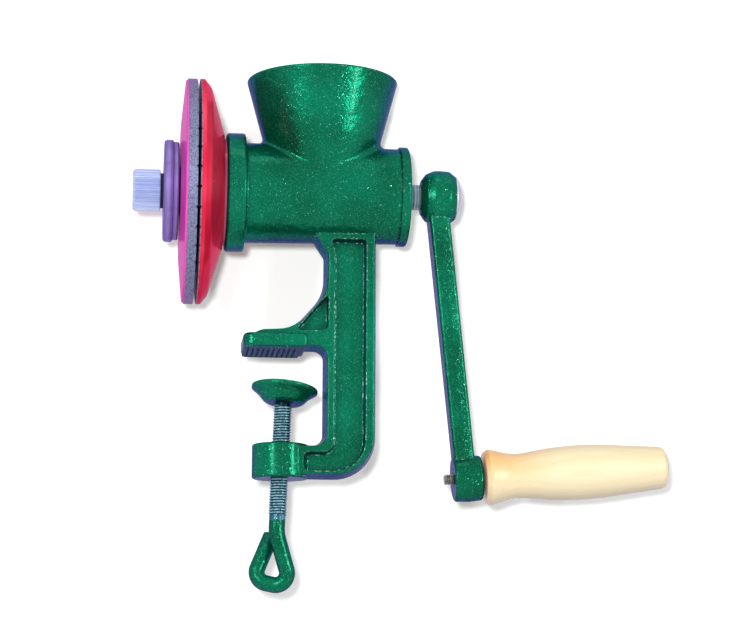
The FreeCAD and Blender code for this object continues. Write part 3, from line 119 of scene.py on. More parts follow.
class Tree:
    """A shader node tree that is filled one node at a time."""

    def __init__(self, tree: bpy.types.NodeTree) -> None:
        """Start with an empty tree."""
        self.tree = tree
        tree.nodes.clear()

    def add(self, kind: str, values: dict | None = None, **settings: object) -> bpy.types.Node:
        """Add a node.

        Args:
            kind: The node's type.
            values: A value, or a socket to link, for each input by name or number.
            **settings: The node's own settings.

        Returns:
            The new node.
        """
        node = self.tree.nodes.new(kind)
        for name, setting in settings.items():
            setattr(node, name, setting)
        self.feed(node, values or {})
        return node

    def feed(self, node: bpy.types.Node, values: dict) -> None:
        """Link or set a node's inputs.

        Args:
            node: The node.
            values: A value, or a socket to link, for each input by name or number.
        """
        for key, value in values.items():
            if isinstance(value, Socket):
                self.tree.links.new(value, node.inputs[key])
            else:
                node.inputs[key].default_value = value

    def math(self, what: str, *numbers: Socket | float) -> Socket:
        """Put one to three numbers through a Math node."""
        return self.add("ShaderNodeMath", dict(enumerate(numbers)), operation=what).outputs[0]

    def span(self, value: Socket, low: Socket | float, high: Socket | float,
             first: float = 0.0, last: float = 1.0) -> Socket:
        """Map a value smoothly from low..high to first..last.

        Args:
            value: The number to map.
            low: Where the change starts.
            high: Where it ends.
            first: The result at low.
            last: The result at high.

        Returns:
            The mapped number, clamped.
        """
        flip = not isinstance(low, Socket) and not isinstance(high, Socket) and low > high
        start, end = (high, low) if flip else (low, high)
        begin, finish = (last, first) if flip else (first, last)
        values = {0: value, 1: start, 2: end, 3: begin, 4: finish}
        return self.add("ShaderNodeMapRange", values, interpolation_type="SMOOTHSTEP").outputs[0]

    def mix(self, share: Socket | float, first: Socket | Colour, second: Socket | Colour) -> Socket:
        """Mix two colours.

        Args:
            share: How much of the second colour shows.
            first: The colour at share 0.
            second: The colour at share 1.

        Returns:
            The mixed colour.
        """
        values = {0: share, 6: first, 7: second}
        return self.add("ShaderNodeMix", values, data_type="RGBA").outputs[2]

    def use(self, group: bpy.types.NodeTree, where: Socket,
            **values: Socket | float) -> bpy.types.bpy_prop_collection:
        """Place a node group.

        Args:
            group: The node group.
            where: The pattern's coordinates.
            **values: The group's other inputs.

        Returns:
            The group node's outputs.
        """
        return self.add("ShaderNodeGroup", {"Vector": where, **values}, node_tree=group).outputs

    def blend(self, share: Socket, first: Socket | float, second: Socket | float) -> Socket:
        """Mix two numbers by a share."""
        return self.add("ShaderNodeMix", {0: share, 2: first, 3: second}).outputs[0]

    def noise(self, where: Socket, size: float, detail: float = 2.0) -> Socket:
        """Add a noise whose grains are about the given size."""
        values = {"Vector": where, "Scale": 1 / size, "Detail": detail}
        return self.add("ShaderNodeTexNoise", values).outputs[0]

    def swing(self, value: Socket, reach: float) -> Socket:
        """Spread a number from 0 to 1 over a reach that is centred on zero."""
        return self.math("MULTIPLY", self.math("SUBTRACT", value, 0.5), reach)

    def far(self, side: Socket, up: Socket) -> Socket:
        """Give the distance from an axis out of the two coordinates across it."""
        squares = [self.math("POWER", part, 2.0) for part in (side, up)]
        return self.math("SQRT", self.math("ADD", *squares))

    def parts(self, vector: Socket) -> list[Socket]:
        """Split a vector or a colour in three numbers."""
        return list(self.add("ShaderNodeSeparateXYZ", {0: vector}).outputs)

    def place(self, centre: Point = (0.0, 0.0, 0.0), turn: Point = (0.0, 0.0, 0.0)) -> Socket:
        """Give object coordinates that are moved to a centre and then turned.

        Args:
            centre: The point that becomes the origin.
            turn: The turn of the pattern's own axes, in radians.

        Returns:
            The coordinates.
        """
        here = self.add("ShaderNodeTexCoord").outputs["Object"]
        moved = self.add("ShaderNodeMapping", {0: here, 1: centre, 2: turn}, vector_type="TEXTURE")
        return moved.outputs[0]

    def bump(self, height: Socket, deep: float, normal: Socket | None = None) -> Socket:
        """Turn a height into a normal.

        Args:
            height: The height, from 0 to 1.
            deep: What a height of 1 stands for.
            normal: The normal to build on.

        Returns:
            The bumped normal.
        """
        values = {"Height": height, "Distance": deep, "Strength": 1.0}
        if normal is not None:
            values["Normal"] = normal
        return self.add("ShaderNodeBump", values).outputs[0]


def new_group(name: str, inputs: dict[str, float | None], outputs: Sequence[str]) -> tuple:
    """Start a shader node group.

    Args:
        name: The group's name.
        inputs: Each input's name and default, None for a vector.
        outputs: Each output's name; one called Normal is a vector.

    Returns:
        The group, its tree, its input node and its output node.
    """
    group = bpy.data.node_groups.new(name, "ShaderNodeTree")
    for label, default in inputs.items():
        kind = "NodeSocketVector" if default is None else "NodeSocketFloat"
        socket = group.interface.new_socket(label, in_out="INPUT", socket_type=kind)
        if default is not None:
            socket.default_value = default
    for label in outputs:
        kind = "NodeSocketVector" if label == "Normal" else "NodeSocketFloat"
        group.interface.new_socket(label, in_out="OUTPUT", socket_type=kind)
    tree = Tree(group)
    return group, tree, tree.add("NodeGroupInput").outputs, tree.add("NodeGroupOutput")


@cache
def flecks() -> bpy.types.NodeTree:
    """Build the metal flecks in paint and the grains of bare castings.

    Returns:
        A group with a mask, a shade for each fleck and a normal that tilts with it.
    """
    sizes = {"Vector": None, "Size": 0.7 * MM, "Share": 0.1, "Tilt": 0.5, "Normal": None}
    group, tree, given, result = new_group("Flecks", sizes, ("Mask", "Shade", "Normal"))
    scale = tree.math("DIVIDE", 1.0, given["Size"])
    cells = tree.add("ShaderNodeTexVoronoi", {"Vector": given["Vector"], "Scale": scale}).outputs
    red, green, _ = tree.parts(cells["Color"])
    limit = tree.math("SUBTRACT", 1.0, given["Share"])
    chosen = tree.math("GREATER_THAN", red, limit)
    mask = tree.math("MULTIPLY", chosen, tree.span(cells["Distance"], 0.5, 0.2))
    half = tree.add("ShaderNodeVectorMath", {0: cells["Color"], 1: (0.5, 0.5, 0.5)},
                    operation="SUBTRACT").outputs[0]
    lean = tree.math("MULTIPLY", mask, given["Tilt"])
    tilt = tree.add("ShaderNodeVectorMath", {0: half, "Scale": lean}, operation="SCALE").outputs[0]
    tilted = tree.add("ShaderNodeVectorMath", {0: tilt, 1: given["Normal"]},
                      operation="ADD").outputs[0]
    unit = tree.add("ShaderNodeVectorMath", {0: tilted}, operation="NORMALIZE").outputs[0]
    tree.feed(result, {"Mask": mask, "Shade": green, "Normal": unit})
    return group


@cache
def cast_skin() -> bpy.types.NodeTree:
    """Build the uneven skin of a sand casting under its paint.

    Returns:
        A group with a height.
    """
    group, tree, given, result = new_group("Cast skin", {"Vector": None}, ("Height",))
    height: Socket | float = 0.0
    for size, detail, weight in SKIN_WAVES:
        wave = tree.noise(given["Vector"], size, detail)
        height = tree.math("MULTIPLY_ADD", wave, weight, height)
    tree.feed(result, {"Height": height})
    return group


@cache
def wear_and_corner_shade() -> bpy.types.NodeTree:
    """Build the wear along edges and the painted shade in corners.

    Returns:
        A group with a mask for edges, one that paints shade into corners and creases, and a rounded
        normal.
    """
    group, tree, given, result = new_group(
        "Edge wear and corner shade", {"Vector": None, "Radius": 1.3 * MM, "Reach": 6 * MM},
        ("Edge", "CornerShade", "Normal"))
    rounded = tree.add("ShaderNodeBevel", {"Radius": given["Radius"]},
                       samples=WEAR_SAMPLES).outputs[0]
    plain = tree.add("ShaderNodeNewGeometry").outputs["Normal"]
    same = tree.add("ShaderNodeVectorMath", {0: rounded, 1: plain}, operation="DOT_PRODUCT")
    broken = tree.noise(given["Vector"], 2.5 * MM, 3.0)
    edge = tree.math("MULTIPLY", tree.span(same.outputs["Value"], 0.985, 0.92),
                     tree.span(broken, 0.35, 0.65))
    # Painted shade: ambient occlusion makes the corner mask, which the finishes use to darken corners
    # and creases where shade falls.
    open_sky = tree.add("ShaderNodeAmbientOcclusion", {"Distance": given["Reach"]},
                        samples=WEAR_SAMPLES)
    corner = tree.span(open_sky.outputs["AO"], 0.85, 0.35)
    tree.feed(result, {"Edge": edge, "CornerShade": corner, "Normal": rounded})
    return group


@cache
def turned_marks() -> bpy.types.NodeTree:
    """Build the rings that a lathe leaves about the X axis.

    Returns:
        A group with a height, streaks round the axis, and the place along and out from it.
    """
    group, tree, given, result = new_group(
        "Turned marks", {"Vector": None, "Pitch": 0.4 * MM}, ("Height", "Streak", "Along", "Out"))
    along, side, up = tree.parts(given["Vector"])
    out = tree.far(side, up)
    path = tree.math("ADD", along, out)
    turns = tree.math("MULTIPLY", tree.math("DIVIDE", path, given["Pitch"]), 2 * math.pi)
    wave = tree.math("MULTIPLY_ADD", tree.math("SINE", turns), 0.5, 0.5)
    ring = tree.add("ShaderNodeCombineXYZ", {0: along, 1: out}).outputs[0]
    streak = tree.noise(ring, 0.9 * MM, 4.0)
    tree.feed(result, {"Height": wave, "Streak": streak, "Along": along, "Out": out})
    return group


def new_material(name: str) -> tuple[bpy.types.Material, Tree]:
    """Make a material with an empty tree.

    Args:
        name: The material's name.

    Returns:
        The material and its tree.
    """
    material = bpy.data.materials.new(name)
    material.use_nodes = True
    return material, Tree(material.node_tree)


@dataclass(frozen=True)
class Finish:
    """A finish whose layers feed one surface shader."""

    name: str

    def layers(self, tree: Tree) -> dict:
        """Build the layers.

        Args:
            tree: The material's tree.

        Returns:
            The shader's inputs.
        """
        raise NotImplementedError

    def material(self) -> bpy.types.Material:
        """Make the material."""
        material, tree = new_material(self.name)
        shader = tree.add("ShaderNodeBsdfPrincipled", self.layers(tree))
        tree.add("ShaderNodeOutputMaterial", {"Surface": shader.outputs[0]})
        return material


@dataclass(frozen=True)
class FleckPaint(Finish):
    """Gloss paint with metal flecks that turns violet where it is seen at a slant, with painted shade
    in its corners and painted highlights along its edges.
    """

    deep: Colour = colour(0, 88, 60)
    bright: Colour = colour(0, 116, 84)
    fleck: Colour = colour(110, 222, 186)
    # Painted highlight: the near-white colour laid along rounded edges as glints.
    edge_highlight: Colour = colour(196, 246, 232)
    # Painted shade: the dark colour that corners and creases are darkened towards.
    corner: Colour = colour(6, 40, 56)
    slant: Colour = (0.4, 0.22, 1.0, 1.0)
    skin_deep: float = 0.6 * MM
    fleck_size: float = 0.7 * MM
    fleck_share: float = 0.05
    dust_share: float = 0.3
    dust_strength: float = 0.32
    cloud_size: float = 40 * MM
    edge_highlight_size: float = 1.3 * MM
    edge_highlight_strength: float = 0.85
    corner_shade_strength: float = 0.6

    def layers(self, tree: Tree) -> dict:
        """Build the paint over the skin of the casting, with painted shade in corners and painted
        highlights on edges.
        """
        here = tree.place()
        wear_and_shade = tree.use(wear_and_corner_shade(), here)
        skin = tree.use(cast_skin(), here)
        normal = tree.bump(skin["Height"], self.skin_deep, wear_and_shade["Normal"])
        large = tree.use(flecks(), here, Size=self.fleck_size, Share=self.fleck_share,
                         Normal=normal)
        small = tree.use(flecks(), here, Size=self.fleck_size * 0.6, Share=self.dust_share,
                         Tilt=0.3, Normal=large["Normal"])
        clouds = tree.noise(here, self.cloud_size)
        ground = tree.mix(tree.span(clouds, 0.3, 0.7), self.deep, self.bright)
        dusted = tree.mix(tree.math("MULTIPLY", small["Mask"], self.dust_strength), ground,
                          self.fleck)
        glint = tree.math("MULTIPLY", large["Mask"], tree.span(large["Shade"], 0.0, 1.0, 0.2, 0.9))
        specked = tree.mix(glint, dusted, self.fleck)
        # Painted shade: corners and creases darkened towards the corner colour.
        dark = tree.mix(tree.math("MULTIPLY", wear_and_shade["CornerShade"], self.corner_shade_strength), specked, self.corner)
        # Painted highlight: near-white glints along rounded edges, broken up by noise.
        highlight_breakup = tree.span(tree.noise(here, self.edge_highlight_size), 0.5, 0.62)
        edge_highlights = tree.math("MULTIPLY", tree.math("MULTIPLY", wear_and_shade["Edge"], highlight_breakup),
                          self.edge_highlight_strength)
        base = tree.mix(edge_highlights, dark, self.edge_highlight)
        rough = tree.math("ADD", tree.span(clouds, 0.3, 0.7, 0.2, 0.26),
                          tree.math("MULTIPLY", wear_and_shade["CornerShade"], 0.2))
        metallic = tree.span(glint, 0.0, 1.0, 0.6, 0.85)
        return {"Base Color": base, "Roughness": rough, "Metallic": metallic,
                "Normal": small["Normal"], "Specular Tint": self.slant,
                "Specular IOR Level": 0.0, "Coat Weight": 0.1, "Coat Roughness": 0.16}


@dataclass(frozen=True)
class CastingPaint(FleckPaint):
    """The same paint on the main casting, with a dark iron colour painted on the serrated block under
    the jaw as its shade, and pale specks on it that are partly scratches and partly painted glints.
    """

    # Painted shade: the dark colour of the block under the jaw; its pale specks are partly scratches
    # and partly painted glints.
    iron: Colour = colour(34, 80, 100)
    scratch_and_glint: Colour = colour(130, 176, 184)
    block_top: float = 1.15 * MM
    block_low: float = -2 * MM
    block_right: float = 12 * MM
    grain_size: float = 0.8 * MM

    def layers(self, tree: Tree) -> dict:
        """Build the paint, with the block under the jaw painted dark as shade, masked by its place.
        """
        here = tree.place()
        values = super().layers(tree)
        across, _, up = tree.parts(here)
        inside = tree.math("MULTIPLY", tree.span(up, self.block_top, self.block_top - 0.1 * MM),
                           tree.span(up, self.block_low, self.block_low + 1 * MM))
        block = tree.math("MULTIPLY", inside, tree.math("LESS_THAN", across, self.block_right))
        worn = tree.use(flecks(), here, Size=self.grain_size, Share=0.3, Tilt=0.5,
                        Normal=values["Normal"])
        # Painted shade on the block under the jaw, with pale specks that are partly painted glints.
        iron = tree.mix(tree.math("MULTIPLY", worn["Mask"], worn["Shade"]), self.iron, self.scratch_and_glint)
        values["Base Color"] = tree.mix(block, values["Base Color"], iron)
        values["Metallic"] = tree.blend(block, values["Metallic"], 0.35)
        values["Roughness"] = tree.blend(block, values["Roughness"], 0.5)
        return values


@dataclass(frozen=True)
class DiscPaint(Finish):
    """Gloss paint on a grinding disc whose rim and grinding face are bare iron."""

    light: Colour
    deep: Colour
    slant: Colour
    edge: float
    bare_side: int
    bare: Colour = colour(140, 146, 178)
    bare_dark: Colour = colour(96, 98, 132)
    grain: Colour = colour(190, 200, 216)
    pitch: float = 0.55 * MM
    edge_wobble: float = 1.3 * MM
    grit_size: float = 0.45 * MM
    patch_size: float = 0.8 * MM
    cloud_size: float = 30 * MM
    run_size: float = 4 * MM
    relief: float = 0.07 * MM

    def layers(self, tree: Tree) -> dict:
        """Build the paint on one side of the edge and the bare iron on the other, with painted shade
        in corners.
        """
        here = tree.place((0.0, 0.0, SHAFT_HEIGHT))
        marks = tree.use(turned_marks(), here, Pitch=self.pitch)
        wear_and_shade = tree.use(wear_and_corner_shade(), here, Radius=0.4 * MM)
        wobble = tree.swing(tree.noise(here, 2 * MM, 4.0), self.edge_wobble)
        past = tree.math("SUBTRACT", tree.math("ADD", marks["Along"], wobble), self.edge)
        bare = tree.span(tree.math("MULTIPLY", past, float(self.bare_side)), -0.1 * MM, 0.1 * MM)
        grit = tree.use(flecks(), here, Size=self.grit_size, Share=0.3, Tilt=0.6,
                        Normal=wear_and_shade["Normal"])
        patches = tree.noise(here, self.patch_size, 3.0)
        iron = tree.mix(tree.span(patches, 0.35, 0.65), self.bare_dark, self.bare)
        iron = tree.mix(tree.math("MULTIPLY", grit["Mask"], 0.5), iron, self.grain)
        clouds = tree.noise(here, self.cloud_size)
        paint = tree.mix(tree.span(clouds, 0.35, 0.65), self.deep, self.light)
        runs = tree.noise(here, self.run_size, 3.0)
        paint = tree.mix(tree.span(runs, 0.66, 0.76, 0.0, 0.25), paint, self.light)
        chips = tree.math("MULTIPLY", wear_and_shade["Edge"], 0.5)
        share = tree.math("MAXIMUM", bare, chips)
        # Painted shade: corners darkened towards the dark iron colour.
        base = tree.mix(tree.math("MULTIPLY", wear_and_shade["CornerShade"], 0.5),
                        tree.mix(share, paint, iron), self.bare_dark)
        rough = tree.blend(share, tree.span(clouds, 0.3, 0.7, 0.2, 0.28),
                           tree.span(patches, 0.3, 0.7, 0.36, 0.56))
        height = tree.blend(bare, runs, tree.math("ADD", marks["Height"], grit["Mask"]))
        return {
            "Base Color": base, "Roughness": rough,
            "Metallic": tree.span(share, 0.0, 1.0, 0.35, 0.6),
            "Normal": tree.bump(height, self.relief, wear_and_shade["Normal"]),
            "Specular Tint": self.slant, "Specular IOR Level": 0.0,
            "Coat Weight": 0.1, "Coat Roughness": 0.1}


@dataclass(frozen=True)
class TurnedMetal(Finish):
    """Bare metal that was turned about the shaft's or its own X axis."""

    light: Colour
    dark: Colour
    metallic: float = 0.85
    rough: float = 0.34
    pitch: float = 0.4 * MM
    groove: float = 0.02 * MM
    centre: Point = (0.0, 0.0, SHAFT_HEIGHT)
    turn: Point = (0.0, 0.0, 0.0)
    grit: float = 0.15
    slant: Colour = (0.8, 0.8, 1.0, 1.0)
    grit_size: float = 0.6 * MM
    stain_size: float = 6 * MM

    def layers(self, tree: Tree) -> dict:
        """Build the lathe rings, the grit, the worn edges and the painted shade in corners."""
        here = tree.place(self.centre, self.turn)
        marks = tree.use(turned_marks(), here, Pitch=self.pitch)
        wear_and_shade = tree.use(wear_and_corner_shade(), here, Radius=0.3 * MM, Reach=3 * MM)
        grit = tree.use(flecks(), here, Size=self.grit_size, Share=self.grit, Tilt=0.4,
                        Normal=wear_and_shade["Normal"])
        base = tree.mix(tree.span(marks["Streak"], 0.3, 0.7), self.dark, self.light)
        stains = tree.noise(here, self.stain_size, 4.0)
        base = tree.mix(tree.span(stains, 0.55, 0.75, 0.0, 0.35), base, self.dark)
        base = tree.mix(tree.math("MULTIPLY", grit["Mask"], 0.4), base, self.light)
        base = tree.mix(tree.math("MULTIPLY", wear_and_shade["Edge"], 0.6), base, self.light)
        # Painted shade: corners darkened towards the dark colour.
        base = tree.mix(tree.math("MULTIPLY", wear_and_shade["CornerShade"], 0.6), base, self.dark)
        rough = tree.math("ADD", tree.span(marks["Streak"], 0.3, 0.7, -0.07, 0.07), self.rough)
        relief = tree.math("MULTIPLY_ADD", grit["Mask"], 0.5, marks["Height"])
        return {
            "Base Color": base, "Roughness": rough, "Metallic": self.metallic,
            "Normal": tree.bump(relief, self.groove, wear_and_shade["Normal"]),
            "Specular Tint": self.slant, "Specular IOR Level": 0.2}


@dataclass(frozen=True)
class KnurledPlate(Finish):
    """Bright plating on the knob, drawn into lines along its axis by the knurl."""

    name: str = "plated_knurl"
    light: Colour = colour(206, 220, 248)
    dark: Colour = colour(172, 184, 232)
    slant: Colour = (0.8, 0.62, 1.0, 1.0)
    stretch: float = 0.01
    line_size: float = 0.5 * MM
    line_deep: float = 0.02 * MM
    stain_size: float = 5 * MM

    def layers(self, tree: Tree) -> dict:
        """Build the drawn lines, the worn ridges and the painted shade in the valleys."""
        here = tree.place((0.0, 0.0, SHAFT_HEIGHT))
        drawn = tree.add("ShaderNodeMapping", {0: here, 3: (self.stretch, 1.0, 1.0)}).outputs[0]
        wear_and_shade = tree.use(wear_and_corner_shade(), here, Radius=0.2 * MM, Reach=1 * MM)
        lines = tree.noise(drawn, self.line_size, 3.0)
        stains = tree.noise(here, self.stain_size, 3.0)
        base = tree.mix(tree.span(lines, 0.35, 0.65), self.dark, self.light)
        base = tree.mix(tree.span(stains, 0.5, 0.8, 0.0, 0.3), base, self.dark)
        # Painted shade: the knurl's valleys and corners darkened towards the dark colour.
        base = tree.mix(tree.math("MULTIPLY", wear_and_shade["CornerShade"], 0.7), base, self.dark)
        base = tree.mix(tree.math("MULTIPLY", wear_and_shade["Edge"], 0.4), base, self.light)
        return {
            "Base Color": base, "Roughness": tree.span(stains, 0.3, 0.7, 0.28, 0.4),
            "Metallic": 0.8, "Normal": tree.bump(lines, self.line_deep), "Specular Tint": self.slant,
            "Specular IOR Level": 0.2}


@dataclass(frozen=True)
class Fibre(Finish):
    """Pressed fibre of a washer."""

    name: str = "pressed_fibre"
    dark: Colour = colour(22, 18, 40)
    light: Colour = colour(58, 52, 78)
    thread_size: float = 0.5 * MM
    layer_thick: float = 0.35 * MM
    relief: float = 0.03 * MM

    def layers(self, tree: Tree) -> dict:
        """Build the pressed threads."""
        here = tree.place((0.0, 0.0, SHAFT_HEIGHT))
        threads = tree.noise(here, self.thread_size, 5.0)
        rings = tree.use(turned_marks(), here, Pitch=self.layer_thick)
        base = tree.mix(tree.span(threads, 0.4, 0.75), self.dark, self.light)
        height = tree.math("ADD", threads, rings["Height"])
        return {
            "Base Color": base, "Roughness": tree.span(threads, 0.3, 0.7, 0.62, 0.82),
            "Normal": tree.bump(height, self.relief)}


@dataclass(frozen=True)
class VarnishedWood(Finish):
    """Pale turned wood under clear varnish, with its grain along the handle."""

    centre: Point
    rise: float
    length: float
    light: Colour = colour(242, 226, 188)
    dark: Colour = colour(230, 200, 150)
    amber: Colour = colour(244, 178, 92)
    edge: Colour = colour(236, 150, 170)
    stretch: float = 0.09
    heart_off: float = 42 * MM
    year_wide: float = 3.4 * MM
    sway_long: float = 12 * MM
    sway_wide: float = 7 * MM
    pore_size: float = 0.7 * MM
    pore_deep: float = 0.05 * MM
    patch_size: float = 16 * MM

    def layers(self, tree: Tree) -> dict:
        """Build the year rings, the pores and the amber end."""
        here = tree.place(self.centre, (0.0, -self.rise, 0.0))
        drawn = tree.add("ShaderNodeMapping", {0: here, 3: (self.stretch, 1.0, 1.0)}).outputs[0]
        along, side, up = tree.parts(here)
        sway = tree.swing(tree.noise(drawn, self.sway_long), self.sway_wide)
        deep = tree.math("ADD", tree.math("ADD", side, self.heart_off), sway)
        ring = tree.far(deep, up)
        year = tree.math("FRACT", tree.math("DIVIDE", ring, self.year_wide))
        late = tree.math("MULTIPLY", tree.span(year, 0.35, 0.95), tree.span(year, 1.0, 0.96))
        pores = tree.noise(drawn, self.pore_size, 3.0)
        base = tree.mix(tree.math("MULTIPLY", late, 0.2), self.light, self.dark)
        base = tree.mix(tree.span(pores, 0.58, 0.76, 0.0, 0.5), base, self.dark)
        patches = tree.noise(drawn, self.patch_size, 3.0)
        base = tree.mix(tree.span(patches, 0.5, 0.75, 0.0, 0.45), base, self.dark)
        end = tree.math("MULTIPLY", tree.span(along, self.length * 0.45, self.length * 0.02),
                        tree.span(up, -8 * MM, 10 * MM, 0.1, 0.75))
        base = tree.mix(end, base, self.amber)
        return {
            "Base Color": base, "Roughness": tree.span(pores, 0.4, 0.7, 0.34, 0.46),
            "Normal": tree.bump(pores, self.pore_deep), "Coat Weight": 0.45, "Coat Roughness": 0.2,
            "Subsurface Weight": 0.04, "Subsurface Scale": 2 * MM,
            "Sheen Weight": 0.3, "Sheen Roughness": 0.3, "Sheen Tint": self.edge}


@dataclass(frozen=True)
class ClampRod(Finish):
    """Dark oiled thread with painted shade in its roots and bright crests that are partly worn metal
    and partly painted highlight, and green paint over the bent eye.
    """

    lean: float
    paint: FleckPaint
    # Painted shade in the thread's roots; the crest colour is partly worn metal and partly painted
    # highlight.
    root: Colour = colour(14, 40, 54)
    flank: Colour = colour(50, 100, 118)
    crest: Colour = colour(160, 204, 214)
    paint_height: float = -91.6 * MM
    paint_ragged: float = 2.4 * MM
    bare_height: float = -87.9 * MM
    root_out: float = 4.3 * MM
    crest_out: float = 4.72 * MM
    grain_size: float = 0.9 * MM

    def layers(self, tree: Tree) -> dict:
        """Build the thread with its painted shade and highlights, the bare speckled rod and the
        painted eye, from top to bottom.
        """
        here = tree.place((0.0, 0.0, 0.0), (0.0, self.lean + math.pi / 2, 0.0))
        paint = self.paint.layers(tree)
        marks = tree.use(turned_marks(), here, Pitch=0.3 * MM)
        worn = tree.noise(here, 1.4 * MM, 3.0)
        # Painted shade and highlight by distance from the axis: dark roots and bright crests, where
        # worn.
        high = tree.span(marks["Out"], self.crest_out - 0.15 * MM, self.crest_out + 0.1 * MM)
        low = tree.span(marks["Out"], self.root_out, self.root_out + 0.3 * MM)
        metal_with_painted_light = tree.mix(low, self.root, self.flank)
        metal_with_painted_light = tree.mix(tree.math("MULTIPLY", high, tree.span(worn, 0.3, 0.6)), metal_with_painted_light, self.crest)
        height = tree.parts(tree.place())[2]
        grit = tree.use(flecks(), here, Size=self.grain_size, Share=0.5, Tilt=0.6,
                        Normal=paint["Normal"])
        bare = tree.mix(grit["Mask"], self.flank, self.crest)
        metal_with_painted_light = tree.mix(tree.span(height, self.bare_height, self.bare_height - 1 * MM), metal_with_painted_light, bare)
        wobble = tree.swing(worn, self.paint_ragged)
        painted = tree.span(tree.math("ADD", height, wobble), self.paint_height + 0.3 * MM,
                            self.paint_height - 0.3 * MM)
        rough = tree.span(worn, 0.3, 0.7, 0.3, 0.45)
        return paint | {
            "Base Color": tree.mix(painted, metal_with_painted_light, paint["Base Color"]),
            "Roughness": tree.blend(painted, rough, paint["Roughness"]),
            "Metallic": tree.blend(painted, 0.75, paint["Metallic"])}


def start_edit() -> None:
    """Open the active piece in edit mode with all of it selected."""
    bpy.ops.object.mode_set(mode="EDIT")
    bpy.ops.mesh.select_all(action="SELECT")


def end_edit() -> None:
    """Go back to object mode."""
    bpy.ops.object.mode_set(mode="OBJECT")


def settle() -> None:
    """Put the active piece's place and turn in its mesh."""
    bpy.ops.object.transform_apply(location=True, rotation=True, scale=True)


def drag(move: Vector) -> None:
    """Extrude what is selected and move it."""
    bpy.ops.mesh.extrude_region_move(TRANSFORM_OT_translate={"value": tuple(move)})


def clean(piece: bpy.types.Object) -> None:
    """Merge doubles, close holes, turn the faces outwards and smooth by angle.

    Args:
        piece: The active piece.
    """
    start_edit()
    bpy.ops.mesh.remove_doubles(threshold=MERGE_REACH)
    bpy.ops.mesh.fill_holes(sides=0)
    bpy.ops.mesh.normals_make_consistent(inside=False)
    end_edit()
    bpy.ops.object.shade_smooth_by_angle(angle=SMOOTH_ANGLE)
    LOG.info("%s: %d faces", piece.name, len(piece.data.polygons))


def chain(name: str, points: Sequence[Vector]) -> bpy.types.Object:
    """Draw an open line by extruding one point from place to place.

    Args:
        name: The new piece's name.
        points: The places in order.

    Returns:
        The line as a mesh.
    """
    bpy.ops.object.select_all(action="DESELECT")
    bpy.ops.mesh.primitive_plane_add(size=0.1 * MM, location=tuple(points[0]))
    piece = bpy.context.object
    piece.name = name
    settle()
    start_edit()
    bpy.ops.mesh.merge(type="CENTER")
    for before, after in zip(points, points[1:]):
        drag(after - before)
    end_edit()
    return piece


def turned(name: str, outline: Sequence[tuple[float, float]], steps: int,
           lift: float = 0.0, turns: int = 1) -> bpy.types.Object:
    """Turn an outline about Z, or wind it up a helix.

    Args:
        name: The new piece's name.
        outline: Distances from the axis and heights.
        steps: Faces in one turn.
        lift: How far one turn rises.
        turns: The number of turns.

    Returns:
        The turned piece.
    """
    piece = chain(name, [Vector((out, 0.0, height)) for out, height in outline])
    wind = piece.modifiers.new("wind", "SCREW")
    wind.steps = wind.render_steps = steps
    wind.screw_offset = lift
    wind.iterations = turns
    wind.use_merge_vertices = True
    wind.merge_threshold = 0.001 * MM
    bpy.ops.object.modifier_apply(modifier=wind.name)
    return piece


def threaded(name: str, across: float, deep: float, pitch: float, low: float,
             high: float, steps: int = 32) -> bpy.types.Object:
    """Cut a screw thread as one helix and trim it level at both ends.

    Args:
        name: The new piece's name.
        across: The thread's outer diameter.
        deep: The depth of its groove.
        pitch: How far one turn rises.
        low: Where the thread starts.
        high: Where it ends.
        steps: Faces in one turn.

    Returns:
        The thread as a closed piece along Z.
    """
    crest, root = across / 2, across / 2 - deep
    start = low - pitch * 1.5
    outline = [(crest if outside else root, start + pitch * share)
               for outside, share in THREAD_OUTLINE]
    turns = math.ceil((high - low) / pitch) + 3
    piece = turned(name, outline, steps, pitch, turns)
    for height, way in ((low, -1.0), (high, 1.0)):
        start_edit()
        bpy.ops.mesh.remove_doubles(threshold=MERGE_REACH)
        bpy.ops.mesh.bisect(plane_co=(0.0, 0.0, height), plane_no=(0.0, 0.0, way),
                            use_fill=True, clear_outer=True)
        end_edit()
    return piece


def joined(name: str, pieces: Sequence[bpy.types.Object]) -> bpy.types.Object:
    """Join pieces in one object.

    Args:
        name: The joined piece's name.
        pieces: The pieces to join.

    Returns:
        The joined piece, active.
    """
    bpy.ops.object.select_all(action="DESELECT")
    for piece in pieces:
        piece.select_set(True)
    bpy.context.view_layer.objects.active = pieces[0]
    bpy.ops.object.join()
    pieces[0].name = name
    return pieces[0]


def dress(piece: bpy.types.Object, material: bpy.types.Material) -> None:
    """Give a piece one material in every slot.

    Args:
        piece: A CAD node or a new piece.
        material: The material.
    """
    if not piece.material_slots:
        piece.data.materials.append(material)
    for slot in piece.material_slots:
        slot.material = material
    LOG.info("%s is dressed in %s", piece.name, material.name)


